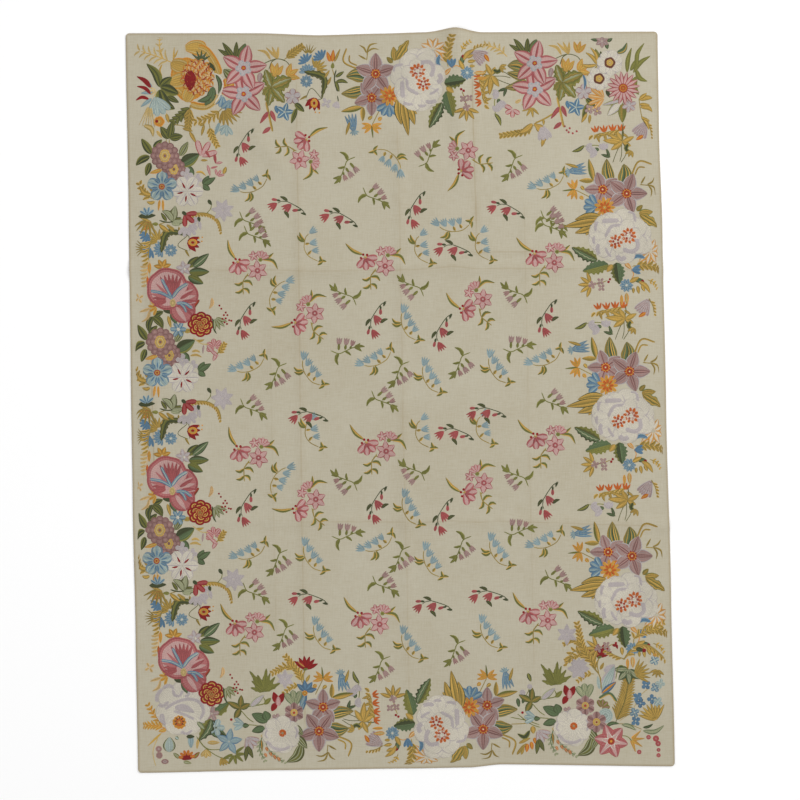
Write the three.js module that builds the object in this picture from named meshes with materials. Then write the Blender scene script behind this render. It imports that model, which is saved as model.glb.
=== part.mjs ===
// A thin stitched wool rug, lying flat on a floor. Millimetres, +Z up, +Y towards the rug's far end.
// The origin is on the floor, under the middle of the rug. The cloth is one piece with a turned hem.
// It was folded for storage, so low ridges still cross it, and its edges are as uneven as hand work is.
import * as THREE from "three";
import { mergeVertices } from "three/addons/utils/BufferGeometryUtils.js";

// Driving sizes
const WIDTH = 1550;
const LENGTH = 2130;
const THICKNESS = 3;
const HEM_WIDTH = 13;
const HEM_RISE = 0.8;
const CORNER_RADIUS = 12;
const PLAIN_COLUMNS = 20;
const PLAIN_ROWS = 27;
const LEAST_GAP = 16;

const GROUND_COLOUR = new THREE.Color().setRGB(0.70, 0.67, 0.59, THREE.SRGBColorSpace);
const WOOL_ROUGHNESS = 0.95;

// How the four edges run. Each row is a point of the edge: at is its place along the edge, and off its
// place across, both from the middle of the rug.
const LEFT_EDGE = [
  { at: -1079, off: -760 },
  { at: -667, off: -767 },
  { at: -319, off: -775 },
  { at: 87, off: -781 },
  { at: 551, off: -787 },
  { at: 1064, off: -796 },
];
const RIGHT_EDGE = [
  { at: -1061, off: 796 },
  { at: -551, off: 785 },
  { at: -29, off: 771 },
  { at: 493, off: 760 },
  { at: 783, off: 750 },
  { at: 1067, off: 746 },
];
const FAR_EDGE = [
  { at: -796, off: 1064 },
  { at: -405, off: 1064 },
  { at: -240, off: 1058 },
  { at: -57, off: 1063 },
  { at: 74, off: 1067 },
  { at: 158, off: 1079 },
  { at: 235, off: 1067 },
  { at: 746, off: 1069 },
];
const NEAR_EDGE = [
  { at: -760, off: -1080 },
  { at: -361, off: -1072 },
  { at: 30, off: -1067 },
  { at: 204, off: -1064 },
  { at: 291, off: -1055 },
  { at: 796, off: -1061 },
];

// Ridges that run the rug's length. near and far are the crest's place across, as a share of the width,
// at the two ends. The ridge runs from share start to share end of the length, and its rise changes evenly
// from low to high on the way. half is the distance from its crest to where it dies out.
const LONG_FOLDS = [
  { name: "left_hem", near: 0.047, far: 0.033, start: 0.22, end: 0.7, low: 3, high: 4.5, half: 26 },
  { name: "left_quarter", near: 0.262, far: 0.262, start: 0.05, end: 0.66, low: 1.2, high: 1.6, half: 26 },
  { name: "left_third", near: 0.312, far: 0.32, start: 0, end: 0.98, low: 2.2, high: 2.6, half: 24 },
  { name: "middle", near: 0.508, far: 0.508, start: 0.02, end: 0.9, low: 2.4, high: 2.8, half: 30 },
  { name: "far_hump", near: 0.68, far: 0.622, start: 0.74, end: 1.2, low: 0, high: 14, half: 62 },
  { name: "right_quarter", near: 0.742, far: 0.742, start: 0.1, end: 0.8, low: 1.2, high: 1.6, half: 26 },
];
// Ridges that run across the rug: left and right are the crest's place along, as a share of the length.
const CROSS_FOLDS = [
  { name: "near_third", left: 0.343, right: 0.327, start: 0.12, end: 1.2, low: 2.2, high: 4.2, half: 34 },
  { name: "far_third", left: 0.68, right: 0.676, start: -0.2, end: 1.2, low: 4.6, high: 4.2, half: 36 },
  { name: "far_twin", left: 0.7, right: 0.7, start: 0.62, end: 0.88, low: 2.6, high: 2.6, half: 18 },
];
const FOLD_FADE = 0.06;
// A soft wrinkle that runs aslant, in millimetres from the middle of the rug.
const WRINKLE = { x0: -457, y0: 812, x1: -297, y1: 623, rise: 5, half: 48 };

/** A smooth step from 0 to 1 as value goes from low to high. */
function smooth(value, low, high) {
  return THREE.MathUtils.smoothstep(value, low, high);
}

/** An edge's place across, at a place along it, eased a little from row to row. */
function edgeAt(edge, at) {
  for (let i = 1; i < edge.length; i++) {
    const [a, b] = [edge[i - 1], edge[i]];
    if (at <= b.at || i === edge.length - 1) {
      const share = THREE.MathUtils.clamp((at - a.at) / (b.at - a.at), 0, 1);
      return THREE.MathUtils.lerp(a.off, b.off, (smooth(share, 0, 1) + share) / 2);
    }
  }
}

/** The place in millimetres of a point given as shares of the rug's width and length. */
function placeOf(across, along) {
  let x = (across - 0.5) * WIDTH;
  let y = (along - 0.5) * LENGTH;
  for (let turn = 0; turn < 5; turn++) {
    const nextX = THREE.MathUtils.lerp(edgeAt(LEFT_EDGE, y), edgeAt(RIGHT_EDGE, y), across);
    y = THREE.MathUtils.lerp(edgeAt(NEAR_EDGE, x), edgeAt(FAR_EDGE, x), along);
    x = nextX;
  }
  return [x, y];
}

/** A ridge's height at a distance from its crest. */
function crest(distance, half, rise) {
  return rise * (1 - smooth(Math.abs(distance), 0, half));
}

/** A fold's rise at a share of the rug's length or width. It fades in and out at the fold's ends. */
function riseAt(fold, share) {
  const run = THREE.MathUtils.clamp((share - fold.start) / (Math.min(fold.end, 1) - fold.start), 0, 1);
  const fadeIn = smooth(share, fold.start, fold.start + FOLD_FADE);
  const fadeOut = 1 - smooth(share, fold.end - FOLD_FADE, fold.end);
  return THREE.MathUtils.lerp(fold.low, fold.high, run) * fadeIn * fadeOut;
}

/** How far the cloth is lifted off the floor. */
function liftAt(across, along, x, y) {
  let lift = 0;
  for (const fold of LONG_FOLDS) {
    const distance = (across - THREE.MathUtils.lerp(fold.near, fold.far, along)) * WIDTH;
    lift += crest(distance, fold.half, riseAt(fold, along));
  }
  for (const fold of CROSS_FOLDS) {
    const distance = (along - THREE.MathUtils.lerp(fold.left, fold.right, across)) * LENGTH;
    lift += crest(distance, fold.half, riseAt(fold, across));
  }
  const [runX, runY] = [WRINKLE.x1 - WRINKLE.x0, WRINKLE.y1 - WRINKLE.y0];
  const run = Math.hypot(runX, runY);
  const share = ((x - WRINKLE.x0) * runX + (y - WRINKLE.y0) * runY) / run ** 2;
  const aside = ((x - WRINKLE.x0) * runY - (y - WRINKLE.y0) * runX) / run;
  const lasts = smooth(share, -0.1, 0.3) * (1 - smooth(share, 0.7, 1.1));
  return lift + crest(aside, WRINKLE.half, WRINKLE.rise * lasts);
}

/** Grid lines as pairs of shares, one for each end of a line: the hems, the folds and plain lines. */
function gridLines(folds, ends, count, size) {
  const lines = [];
  const gap = LEAST_GAP / size;
  const hem = HEM_WIDTH / size;
  const wanted = [0, hem * 0.45, hem, 1 - hem, 1 - hem * 0.45, 1].map((s) => [s, s]);
  for (const fold of folds) {
    for (const side of [0, -1, 1]) {
      wanted.push(ends.map((end) => fold[end] + (side * fold.half) / size));
    }
  }
  for (let i = 1; i < count; i++) {
    wanted.push([i / count, i / count]);
  }
  for (const [index, line] of wanted.entries()) {
    const inHem = index < 6;
    const clear = lines.every((other) => line.every((s, end) => Math.abs(s - other[end]) > gap));
    if (inHem || (clear && line.every((s) => s > hem && s < 1 - hem))) {
      lines.push(line);
    }
  }
  return lines.sort((a, b) => a[0] + a[1] - b[0] - b[1]);
}

/** Moves a point near a corner of the rug onto the corner's rounding. */
function rounded(across, along) {
  const fromX = Math.min(across, 1 - across) * WIDTH;
  const fromY = Math.min(along, 1 - along) * LENGTH;
  if (fromX >= CORNER_RADIUS || fromY >= CORNER_RADIUS) {
    return [across, along];
  }
  const [p, q] = [1 - fromX / CORNER_RADIUS, 1 - fromY / CORNER_RADIUS];
  const reach = Math.max(p, q);
  const turn = (Math.min(p, q) / reach) * (Math.PI / 4);
  const [long, short] = [reach * Math.cos(turn), reach * Math.sin(turn)];
  const [outX, outY] = p >= q ? [long, short] : [short, long];
  const inX = ((1 - outX) * CORNER_RADIUS) / WIDTH;
  const inY = ((1 - outY) * CORNER_RADIUS) / LENGTH;
  return [across < 0.5 ? inX : 1 - inX, along < 0.5 ? inY : 1 - inY];
}

/** How much the doubled cloth of the hem adds, at a point given as shares of the rug. */
function hemRise(across, along) {
  const inX = Math.min(across, 1 - across) * WIDTH;
  const inY = Math.min(along, 1 - along) * LENGTH;
  return HEM_RISE * (1 - smooth(Math.min(inX, inY), HEM_WIDTH * 0.5, HEM_WIDTH));
}

/** The rug's solid: a slab of box faces whose points are moved to the outline and onto the folds. */
function rugGeometry() {
  const columns = gridLines(LONG_FOLDS, ["near", "far"], PLAIN_COLUMNS, WIDTH);
  const rows = gridLines(CROSS_FOLDS, ["left", "right"], PLAIN_ROWS, LENGTH);
  const slab = new THREE.BoxGeometry(1, 1, 1, columns.length - 1, rows.length - 1, 1);
  const points = slab.getAttribute("position");
  for (let i = 0; i < points.count; i++) {
    const column = columns[Math.round((points.getX(i) + 0.5) * (columns.length - 1))];
    const row = rows[Math.round((points.getY(i) + 0.5) * (rows.length - 1))];
    const along0 = (row[0] + row[1]) / 2;
    const across0 = THREE.MathUtils.lerp(column[0], column[1], along0);
    const [across, along] = rounded(across0, THREE.MathUtils.lerp(row[0], row[1], across0));
    const [x, y] = placeOf(across, along);
    const lift = liftAt(across, along, x, y);
    const top = points.getZ(i) > 0;
    points.setXYZ(i, x, y, top ? lift + THICKNESS + hemRise(across, along) : lift);
  }
  slab.deleteAttribute("normal");
  slab.deleteAttribute("uv");
  const closed = mergeVertices(slab);
  closed.computeVertexNormals();
  return closed;
}

const wool = new THREE.MeshStandardMaterial({ color: GROUND_COLOUR, roughness: WOOL_ROUGHNESS });
const rug = new THREE.Mesh(rugGeometry(), wool);
rug.name = "rug";

const group = new THREE.Group();
group.add(rug);

export default group;
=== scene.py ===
"""A thin wool rug with stitched flowers, lying flat on a pale floor.

The cloth is one sheet with turned edges and low storage folds. Its flowers are rows of chain stitch, laid
side by side as they are on the real rug: every petal, leaf and stem is a strip of domed rows in its own yarn.
The rug is in metres. The flowers are drawn in rows: one row is the width of a line of stitches.
"""

import logging
import math
from dataclasses import dataclass, field
from enum import Enum

import bpy
import numpy as np
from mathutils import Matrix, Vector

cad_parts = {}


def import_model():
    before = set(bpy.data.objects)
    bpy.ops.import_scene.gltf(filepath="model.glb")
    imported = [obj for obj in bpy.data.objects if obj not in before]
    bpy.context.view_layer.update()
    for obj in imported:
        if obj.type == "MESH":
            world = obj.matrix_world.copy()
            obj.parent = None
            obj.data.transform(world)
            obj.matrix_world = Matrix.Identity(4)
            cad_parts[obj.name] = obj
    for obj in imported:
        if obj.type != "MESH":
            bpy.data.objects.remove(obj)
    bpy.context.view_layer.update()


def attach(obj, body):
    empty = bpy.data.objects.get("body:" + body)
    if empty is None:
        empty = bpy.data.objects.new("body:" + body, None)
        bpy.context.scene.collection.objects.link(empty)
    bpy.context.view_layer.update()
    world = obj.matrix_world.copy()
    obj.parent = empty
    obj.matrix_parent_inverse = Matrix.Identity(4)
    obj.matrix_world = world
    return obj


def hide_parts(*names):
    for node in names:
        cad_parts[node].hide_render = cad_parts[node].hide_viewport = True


LOG = logging.getLogger("rug")
ROW = 0.0029
MILLIMETRE = 0.001

Array = np.ndarray
Socket = bpy.types.NodeSocket
Tree = bpy.types.NodeTree


class Yarn(Enum):
    """Yarn colours, as sRGB from 0 to 255."""

    CREAM = (191, 184, 168)
    PEACH = (186, 152, 104)
    LAVENDER = (166, 157, 155)
    LILAC = (150, 129, 124)
    MAUVE = (142, 110, 103)
    PLUM = (116, 82, 78)
    ROSE = (146, 74, 74)
    PINK = (162, 98, 96)
    PALE_PINK = (180, 144, 138)
    CORAL = (148, 66, 64)
    CRIMSON = (124, 10, 8)
    RUST = (144, 52, 28)
    BROWN = (96, 56, 38)
    FLAME = (172, 84, 24)
    ORANGE = (182, 122, 38)
    GOLD = (174, 140, 66)
    STRAW = (174, 150, 96)
    BRASS = (132, 112, 50)
    OLIVE = (100, 100, 44)
    DARK_OLIVE = (78, 78, 38)
    FOREST = (58, 64, 34)
    TEAL = (82, 98, 64)
    MOSS = (116, 114, 52)
    SAGE = (140, 142, 110)
    SKY = (126, 144, 146)
    BLUE = (80, 110, 132)
    NAVY = (66, 88, 108)
    AQUA = (150, 162, 154)

    @property
    def linear(self) -> tuple[float, float, float, float]:
        """The colour in linear light, with alpha."""
        return linear_colour(self.value)


(CREAM, PEACH, LAVENDER, LILAC, MAUVE, PLUM, ROSE, PINK, PALE_PINK, CORAL, CRIMSON, RUST, BROWN, FLAME,
 ORANGE, GOLD, STRAW, BRASS, OLIVE, DARK_OLIVE, FOREST, TEAL, MOSS, SAGE, SKY, BLUE, NAVY, AQUA) = Yarn
# Neighbouring rows of these yarns differ less in tone than those of the others.
QUIET_YARNS = (CREAM, LAVENDER, PALE_PINK, PINK)
Yarns = tuple[Yarn, ...]


def linear_colour(srgb: tuple[int, int, int]) -> tuple[float, ...]:
    """A colour from 0 to 255 in linear light, with alpha."""
    parts = (part / 255 for part in srgb)
    return (*(part / 12.92 if part <= 0.04045 else ((part + 0.055) / 1.055) ** 2.4 for part in parts), 1.0)


def smooth(value: Array, low: float, high: float) -> Array:
    """A smooth step from 0 to 1 as value goes from low to high."""
    share = np.clip((value - low) / (high - low), 0.0, 1.0)
    return share * share * (3.0 - 2.0 * share)


@dataclass(frozen=True)
class Fold:
    """A ridge along the rug or across it: shares of the rug, and rises in millimetres.

    first and last are the crest's place at the rug's two ends, start and end the shares where the ridge
    begins and stops, low and high its rise there, and half the distance in which it dies out.
    """

    first: float
    last: float
    start: float
    end: float
    low: float
    high: float
    half: float
    fade: float = 0.06

    def rise(self, aside: Array, along: Array, size: float) -> Array:
        """How much the ridge lifts the cloth.

        Args:
            aside: the share of the rug across the ridge.
            along: the share of the rug along the ridge.
            size: the rug's size across the ridge, in millimetres.

        Returns:
            The lift in millimetres.
        """
        distance = np.abs(aside - (self.first + (self.last - self.first) * along)) * size
        run = np.clip((along - self.start) / (min(self.end, 1.0) - self.start), 0.0, 1.0)
        fades = smooth(along, self.start, self.start + self.fade)
        fades = fades * (1 - smooth(along, self.end - self.fade, self.end))
        return (self.low + (self.high - self.low) * run) * fades * (1 - smooth(distance, 0.0, self.half))


@dataclass(frozen=True)
class RugShape:
    """The rug's outline and folds, in millimetres from the middle of the rug on the floor."""

    width: float = 1550.0
    length: float = 2130.0
    thickness: float = 3.0
    hem_width: float = 13.0
    hem_rise: float = 0.8
    corner: float = 12.0
    left: tuple = ((-1079, -760), (-667, -767), (-319, -775), (87, -781), (551, -787), (1064, -796))
    right: tuple = ((-1061, 796), (-551, 785), (-29, 771), (493, 760), (783, 750), (1067, 746))
    far: tuple = ((-796, 1064), (-405, 1064), (-240, 1058), (-57, 1063), (74, 1067), (158, 1079), (235, 1067),
                  (746, 1069))
    near: tuple = ((-760, -1080), (-361, -1072), (30, -1067), (204, -1064), (291, -1055), (796, -1061))
    long_folds: tuple[Fold, ...] = (
        Fold(0.047, 0.033, 0.22, 0.7, 3, 4.5, 26),
        Fold(0.262, 0.262, 0.05, 0.66, 1.2, 1.6, 26),
        Fold(0.312, 0.32, 0, 0.98, 2.2, 2.6, 24),
        Fold(0.508, 0.508, 0.02, 0.9, 2.4, 2.8, 30),
        Fold(0.68, 0.622, 0.74, 1.2, 0, 14, 62),
        Fold(0.742, 0.742, 0.1, 0.8, 1.2, 1.6, 26),
    )
    cross_folds: tuple[Fold, ...] = (
        Fold(0.343, 0.327, 0.12, 1.2, 2.2, 4.2, 34),
        Fold(0.68, 0.676, -0.2, 1.2, 4.6, 4.2, 36),
        Fold(0.7, 0.7, 0.62, 0.88, 2.6, 2.6, 18),
    )
    wrinkle: tuple[float, float, float, float] = (-457, 812, -297, 623)
    wrinkle_rise: float = 5.0
    wrinkle_half: float = 48.0
    wrinkle_in: tuple[float, float] = (-0.1, 0.3)
    wrinkle_out: tuple[float, float] = (0.7, 1.1)

    @staticmethod
    def edge(points: tuple, at: Array) -> Array:
        """An edge's place across, at places along it, eased a little from point to point.

        Args:
            points: the edge's points, each a place along it and a place across.
            at: places along the edge.

        Returns:
            The places across.
        """
        places, offs = np.array(points, dtype=float).T
        index = np.clip(np.searchsorted(places, at) - 1, 0, len(places) - 2)
        share = np.clip((at - places[index]) / (places[index + 1] - places[index]), 0.0, 1.0)
        share = (smooth(share, 0.0, 1.0) + share) / 2
        return offs[index] + (offs[index + 1] - offs[index]) * share

    def place(self, across: Array, along: Array) -> tuple[Array, Array]:
        """The place of points given as shares of the rug.

        Args:
            across: the shares of its width.
            along: the shares of its length.

        Returns:
            x and y in millimetres.
        """
        x, y = (across - 0.5) * self.width, (along - 0.5) * self.length
        for _ in range(5):
            left, right = self.edge(self.left, y), self.edge(self.right, y)
            near, far = self.edge(self.near, x), self.edge(self.far, x)
            x, y = left + (right - left) * across, near + (far - near) * along
        return x, y

    def shares(self, x: Array, y: Array) -> tuple[Array, Array]:
        """The shares of the rug at which points lie.

        Args:
            x: the places across, in millimetres.
            y: the places along, in millimetres.

        Returns:
            The shares of its width and of its length.
        """
        left, right = self.edge(self.left, y), self.edge(self.right, y)
        near, far = self.edge(self.near, x), self.edge(self.far, x)
        return (x - left) / (right - left), (y - near) / (far - near)

    def lift(self, across: Array, along: Array, x: Array, y: Array) -> Array:
        """How far the folds lift the cloth off the floor.

        Args:
            across: the shares of the width.
            along: the shares of the length.
            x: the same points' places across, in millimetres.
            y: their places along, in millimetres.

        Returns:
            The lift in millimetres.
        """
        lift = np.zeros_like(x, dtype=float)
        for fold in self.long_folds:
            lift += fold.rise(across, along, self.width)
        for fold in self.cross_folds:
            lift += fold.rise(along, across, self.length)
        x0, y0, x1, y1 = self.wrinkle
        run = math.hypot(x1 - x0, y1 - y0)
        share = ((x - x0) * (x1 - x0) + (y - y0) * (y1 - y0)) / run**2
        aside = np.abs((x - x0) * (y1 - y0) - (y - y0) * (x1 - x0)) / run
        lasts = smooth(share, *self.wrinkle_in) * (1 - smooth(share, *self.wrinkle_out))
        return lift + self.wrinkle_rise * lasts * (1 - smooth(aside, 0.0, self.wrinkle_half))

    def top(self, x: Array, y: Array) -> Array:
        """The height of the cloth's face at points in millimetres."""
        across, along = self.shares(x, y)
        return self.lift(across, along, x, y) + self.thickness


SHAPE = RugShape()


class Outline(Enum):
    """How a strip's width runs from its base to its tip."""

    LEAF = "widest before its middle, with a sharp tip"
    PETAL = "widest past its middle, with a round tip"
    POINT = "a petal with a sharp tip"
    STRIP = "even, with round ends"
    HORN = "widest at its base, with a sharp tip"

    def half_width(self, share: Array) -> Array:
        """The half-width along a strip, with 1 as the widest.

        Args:
            share: shares of the length.

        Returns:
            The half-width at each share.
        """
        if self is Outline.LEAF:
            return np.sin(np.pi * share**0.8) ** 0.85
        if self is Outline.PETAL:
            return np.where(share < 0.6, 0.3 + 0.7 * np.sin(share / 0.6 * np.pi / 2),
                            np.sqrt(np.clip(1 - ((share - 0.6) / 0.4) ** 2, 0, 1)))
        if self is Outline.POINT:
            return np.where(share < 0.5, 0.25 + 0.75 * np.sin(share * np.pi),
                            np.clip(2 - 2 * share, 0, 1) ** 0.8)
        if self is Outline.STRIP:
            return np.clip(np.minimum(share, 1 - share) * 12, 0.25, 1.0) ** 0.5
        return np.clip(1 - share, 0, 1) ** 0.7 * np.clip(share * 9 + 0.5, 0, 1)


LEAF, PETAL, POINT, STRIP, HORN = Outline


@dataclass(frozen=True)
class Place:
    """Where a motif is stitched: its middle in rows from the rug's, its turn in degrees and its size."""

    x: float = 0.0
    y: float = 0.0
    turn: float = 0.0
    size: float = 1.0

    def put(self, points: Array) -> Array:
        """Moves points from the motif's own rows to the rug's.

        Args:
            points: points with x and y last.

        Returns:
            The moved points.
        """
        angle = math.radians(self.turn)
        cos, sin = math.cos(angle) * self.size, math.sin(angle) * self.size
        x, y = points[..., 0], points[..., 1]
        return np.stack([self.x + x * cos - y * sin, self.y + x * sin + y * cos], axis=-1)

    def within(self, x: float, y: float, turn: float = 0.0, size: float = 1.0) -> "Place":
        """The place of something inside this motif."""
        inner = self.put(np.array([x, y]))
        return Place(float(inner[0]), float(inner[1]), self.turn + turn, self.size * size)


@dataclass
class Region:
    """Stitches that end up in one mesh."""

    points: list[Array] = field(default_factory=list)
    faces: list[Array] = field(default_factory=list)
    colours: list[Array] = field(default_factory=list)
    rows: list[Array] = field(default_factory=list)
    count: int = 0


@dataclass
class Needlework:
    """Stitches rows of chain stitch onto the cloth, each part draped over what was stitched before it."""

    pitch: float = 1.1
    step: float = 2.1
    valley: float = 0.35
    crest: float = 0.85
    sunk: float = -0.25
    thread: float = 0.45
    most: float = 2.2
    cell: float = 0.5
    columns: int = 3
    rows: int = 4
    half_width: float = 290.0
    half_length: float = 385.0
    uneven: float = 0.07
    contrast: float = 0.11
    quiet_share: float = 0.2
    notch: float = 0.22
    ring_step: float = 2.73
    eye: float = 0.03
    most_steps: int = 40
    fill: int = 4
    flower_half_width: float = 268.0
    flower_half_length: float = 368.0
    knee: float = 28.0
    margin: float = 10.0
    shift: tuple[float, float] = (-0.3, -2.6)
    seed: int = 7
    regions: dict[tuple[int, int], Region] = field(default_factory=dict)

    def __post_init__(self) -> None:
        """Starts with bare cloth."""
        shape = (int(self.half_length * 2 / self.cell), int(self.half_width * 2 / self.cell))
        self.layer = np.zeros(shape)
        self.random = np.random.default_rng(self.seed)

    def fitted(self, lines: Array) -> Array:
        """Moves points to the cloth's own middle, and those too near its edge back onto the cloth.

        Args:
            lines: points in rows from the rug's middle.

        Returns:
            The points, all of them inside the hem.
        """
        scale = ROW / MILLIMETRE
        x, y = ((lines[..., axis] + self.shift[axis]) * scale for axis in (0, 1))
        shares = SHAPE.shares(x, y)
        drawn = []
        for share, size in zip(shares, (SHAPE.width, SHAPE.length)):
            inset = np.minimum(share, 1 - share) * size
            room = self.knee - self.margin
            eased = self.margin + room * np.exp(np.minimum(inset - self.knee, 0.0) / room)
            inset = np.where(inset < self.knee, eased, inset) / size
            drawn.append(np.where(share < 0.5, inset, 1 - inset))
        return np.stack(SHAPE.place(*drawn), axis=-1) / scale

    def cells(self, points: Array) -> tuple[Array, Array]:
        """The cells of the layer map that points fall in.

        Args:
            points: points in rows from the rug's middle.

        Returns:
            The cells' rows and columns.
        """
        row = ((points[..., 1] + self.half_length) / self.cell).astype(int)
        column = ((points[..., 0] + self.half_width) / self.cell).astype(int)
        return np.clip(row, 1, self.layer.shape[0] - 2), np.clip(column, 1, self.layer.shape[1] - 2)

    def under(self, points: Array) -> Array:
        """How thick the stitching already is under points.

        Args:
            points: points in rows from the rug's middle.

        Returns:
            The thickness in millimetres.
        """
        row, column = self.cells(points)
        around = [self.layer[row + i, column + j] for i in (-1, 0, 1) for j in (-1, 0, 1)]
        return np.max(around, axis=0)

    def cover(self, lines: Array, closed: bool = False) -> None:
        """Adds one thread's thickness to the layer map where new rows lie.

        Args:
            lines: the lines between rows, as line, point and xy.
            closed: True if each line is a ring.
        """
        if closed:
            lines = np.concatenate([lines, lines[:, :1]], axis=1)
        for axis in (0, 1):
            spread = [-1 if other == axis + 1 else 1 for other in range(4)]
            shares = np.linspace(0, 1, self.fill + 1)[:-1].reshape(spread)
            low = np.take(lines, range(lines.shape[axis] - 1), axis)
            high = np.take(lines, range(1, lines.shape[axis]), axis)
            steps = np.expand_dims(low, axis + 1) + np.expand_dims(high - low, axis + 1) * shares
            shape = list(low.shape)
            shape[axis] *= self.fill
            lines = steps.reshape(shape)
        row, column = self.cells(lines)
        row, column = np.unique(np.stack([row.ravel(), column.ravel()]), axis=1)
        self.layer[row, column] = np.minimum(self.layer[row, column] + self.thread, self.most)

    def stitch(self, lines: Array, yarns: list[Yarn], closed: bool = False) -> None:
        """Adds rows of stitches to the mesh that they fall in.

        Args:
            lines: the lines between rows, as line, point and xy, in rows from the rug's middle.
            yarns: one yarn for each row.
            closed: True if each line is a ring.
        """
        middles = (lines[1:] + lines[:-1]) / 2
        count, steps = len(yarns), lines.shape[1]
        grid = np.empty((2 * count + 1, steps, 2))
        grid[0::2], grid[1::2] = lines, middles
        height = np.full((2 * count + 1, steps), self.valley)
        height[1::2] = self.crest
        height[0] = self.sunk
        if not closed:
            height[-1] = self.sunk
            height[:, 0] = height[:, -1] = self.sunk
        height += self.under(grid)
        mm = grid * (ROW / MILLIMETRE)
        z = SHAPE.top(mm[..., 0], mm[..., 1]) + height
        points = np.concatenate([mm, z[..., None]], axis=-1).reshape(-1, 3) * MILLIMETRE
        along = np.linalg.norm(np.diff(middles[len(middles) // 2], axis=0), axis=1)
        travel = np.concatenate([[0.0], np.cumsum(along)])
        index = np.arange((2 * count + 1) * steps).reshape(2 * count + 1, steps)
        if closed:
            last = np.linalg.norm(middles[len(middles) // 2][0] - middles[len(middles) // 2][-1])
            index = np.concatenate([index, index[:, :1]], axis=1)
            travel = np.append(travel, travel[-1] + last)
        faces = np.stack([index[:-1, :-1], index[:-1, 1:], index[1:, 1:], index[1:, :-1]], axis=-1)
        first = points[faces[count, faces.shape[1] // 2]]
        turn = np.cross(first[1] - first[0], first[2] - first[0])[2]
        across = np.arange(2 * count + 1) / 2
        corner_rows = np.stack(np.broadcast_arrays(
            np.stack([travel[:-1], travel[1:], travel[1:], travel[:-1]], -1)[None],
            np.stack([across[:-1], across[:-1], across[1:], across[1:]], -1)[:, None],
        ), axis=-1)
        if turn < 0:
            faces, corner_rows = faces[..., ::-1], corner_rows[..., ::-1, :]
        quiet = np.array([self.quiet_share if yarn in QUIET_YARNS else 1.0 for yarn in yarns])
        stripes = self.contrast * np.cos(np.pi * np.arange(count))
        ply = 1 + quiet * (self.random.normal(0.0, self.uneven, count) + stripes)
        tone = ply[:, None] * np.array([yarn.linear[:3] for yarn in yarns])
        colours = np.repeat(tone, 2, axis=0)[:, None, None, :] * np.ones((1, faces.shape[1], 4, 1))
        middle = grid.reshape(-1, 2).mean(axis=0)
        half_x, half_y = self.flower_half_width, self.flower_half_length
        column = int(np.clip((middle[0] + half_x) / (2 * half_x) * self.columns, 0, self.columns - 1))
        row = int(np.clip((middle[1] + half_y) / (2 * half_y) * self.rows, 0, self.rows - 1))
        region = self.regions.setdefault((row, column), Region())
        region.points.append(points)
        region.faces.append(faces.reshape(-1, 4) + region.count)
        region.colours.append(colours.reshape(-1, 3))
        region.rows.append(corner_rows.reshape(-1, 2))
        region.count += len(points)

    def strip(self, place: Place, spine: Array, width: float, yarns: Yarns,
              outline: Outline = Outline.STRIP, across: bool = False, teeth: int = 0) -> Array:
        """Stitches rows side by side along a spine.

        Args:
            place: where the motif is.
            spine: the spine's points, in the motif's rows.
            width: the widest part, in the motif's rows.
            yarns: yarns from the outside rows inwards.
            outline: how the width runs along the spine.
            across: True if the yarns go from the left edge to the right one instead.
            teeth: the number of teeth along each edge.

        Returns:
            The lines between the rows.
        """
        length = np.linalg.norm(np.diff(spine, axis=0), axis=1).sum() * place.size
        steps = int(np.clip(math.ceil(length / self.step), 3, self.most_steps)) + teeth * 2
        spine = place.put(resample(spine, steps + 1))
        share = np.linspace(0, 1, steps + 1)
        half = outline.half_width(share) * width * place.size / 2
        if teeth:
            half = half * (1 - self.notch * (share * teeth % 1.0 < 0.5))
        tangent = np.gradient(spine, axis=0)
        tangent /= np.maximum(np.linalg.norm(tangent, axis=1, keepdims=True), 1e-9)
        normal = np.stack([-tangent[:, 1], tangent[:, 0]], axis=-1)
        count = max(1, round(width * place.size / self.pitch))
        if across:
            count = max(count, len(yarns))
        aside = np.linspace(1, -1, count + 1)[:, None, None] * (half[:, None] * normal)[None]
        lines = self.fitted(spine[None] + aside)
        picked = [
            yarns[min(j * len(yarns) // count if across else min(j, count - 1 - j), len(yarns) - 1)]
            for j in range(count)
        ]
        self.stitch(lines, picked)
        return lines

    def ring(self, place: Place, radius: float, yarns: Yarns, lobes: int = 0, depth: float = 0.0,
             oval: float = 1.0) -> Array:
        """Stitches rings of rows, from the outside in.

        Args:
            place: where the middle is.
            radius: the outer radius, in the motif's rows.
            yarns: yarns from the outside in.
            lobes: how many lobes the outline has.
            depth: how deep the notches between the lobes are, as a share of the radius.
            oval: the radius along the motif's y, as a share of that along its x.

        Returns:
            The lines between the rings.
        """
        size = radius * place.size
        count = max(1, round(size / self.pitch))
        steps = max(7, lobes * 4, math.ceil(2 * math.pi * size / self.ring_step))
        angle = np.linspace(0, 2 * math.pi, steps, endpoint=False)
        reach = radius * (1 - depth * (1 - np.abs(np.cos(angle * lobes / 2))))
        unit = np.stack([np.cos(angle) * reach, np.sin(angle) * reach * oval], axis=-1)
        shares = np.linspace(1, self.eye, count + 1)
        lines = self.fitted(place.put(shares[:, None, None] * unit[None]))
        picked = [yarns[min(j * len(yarns) // count, len(yarns) - 1)] for j in range(count)]
        self.stitch(lines, picked, closed=True)
        return lines


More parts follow.
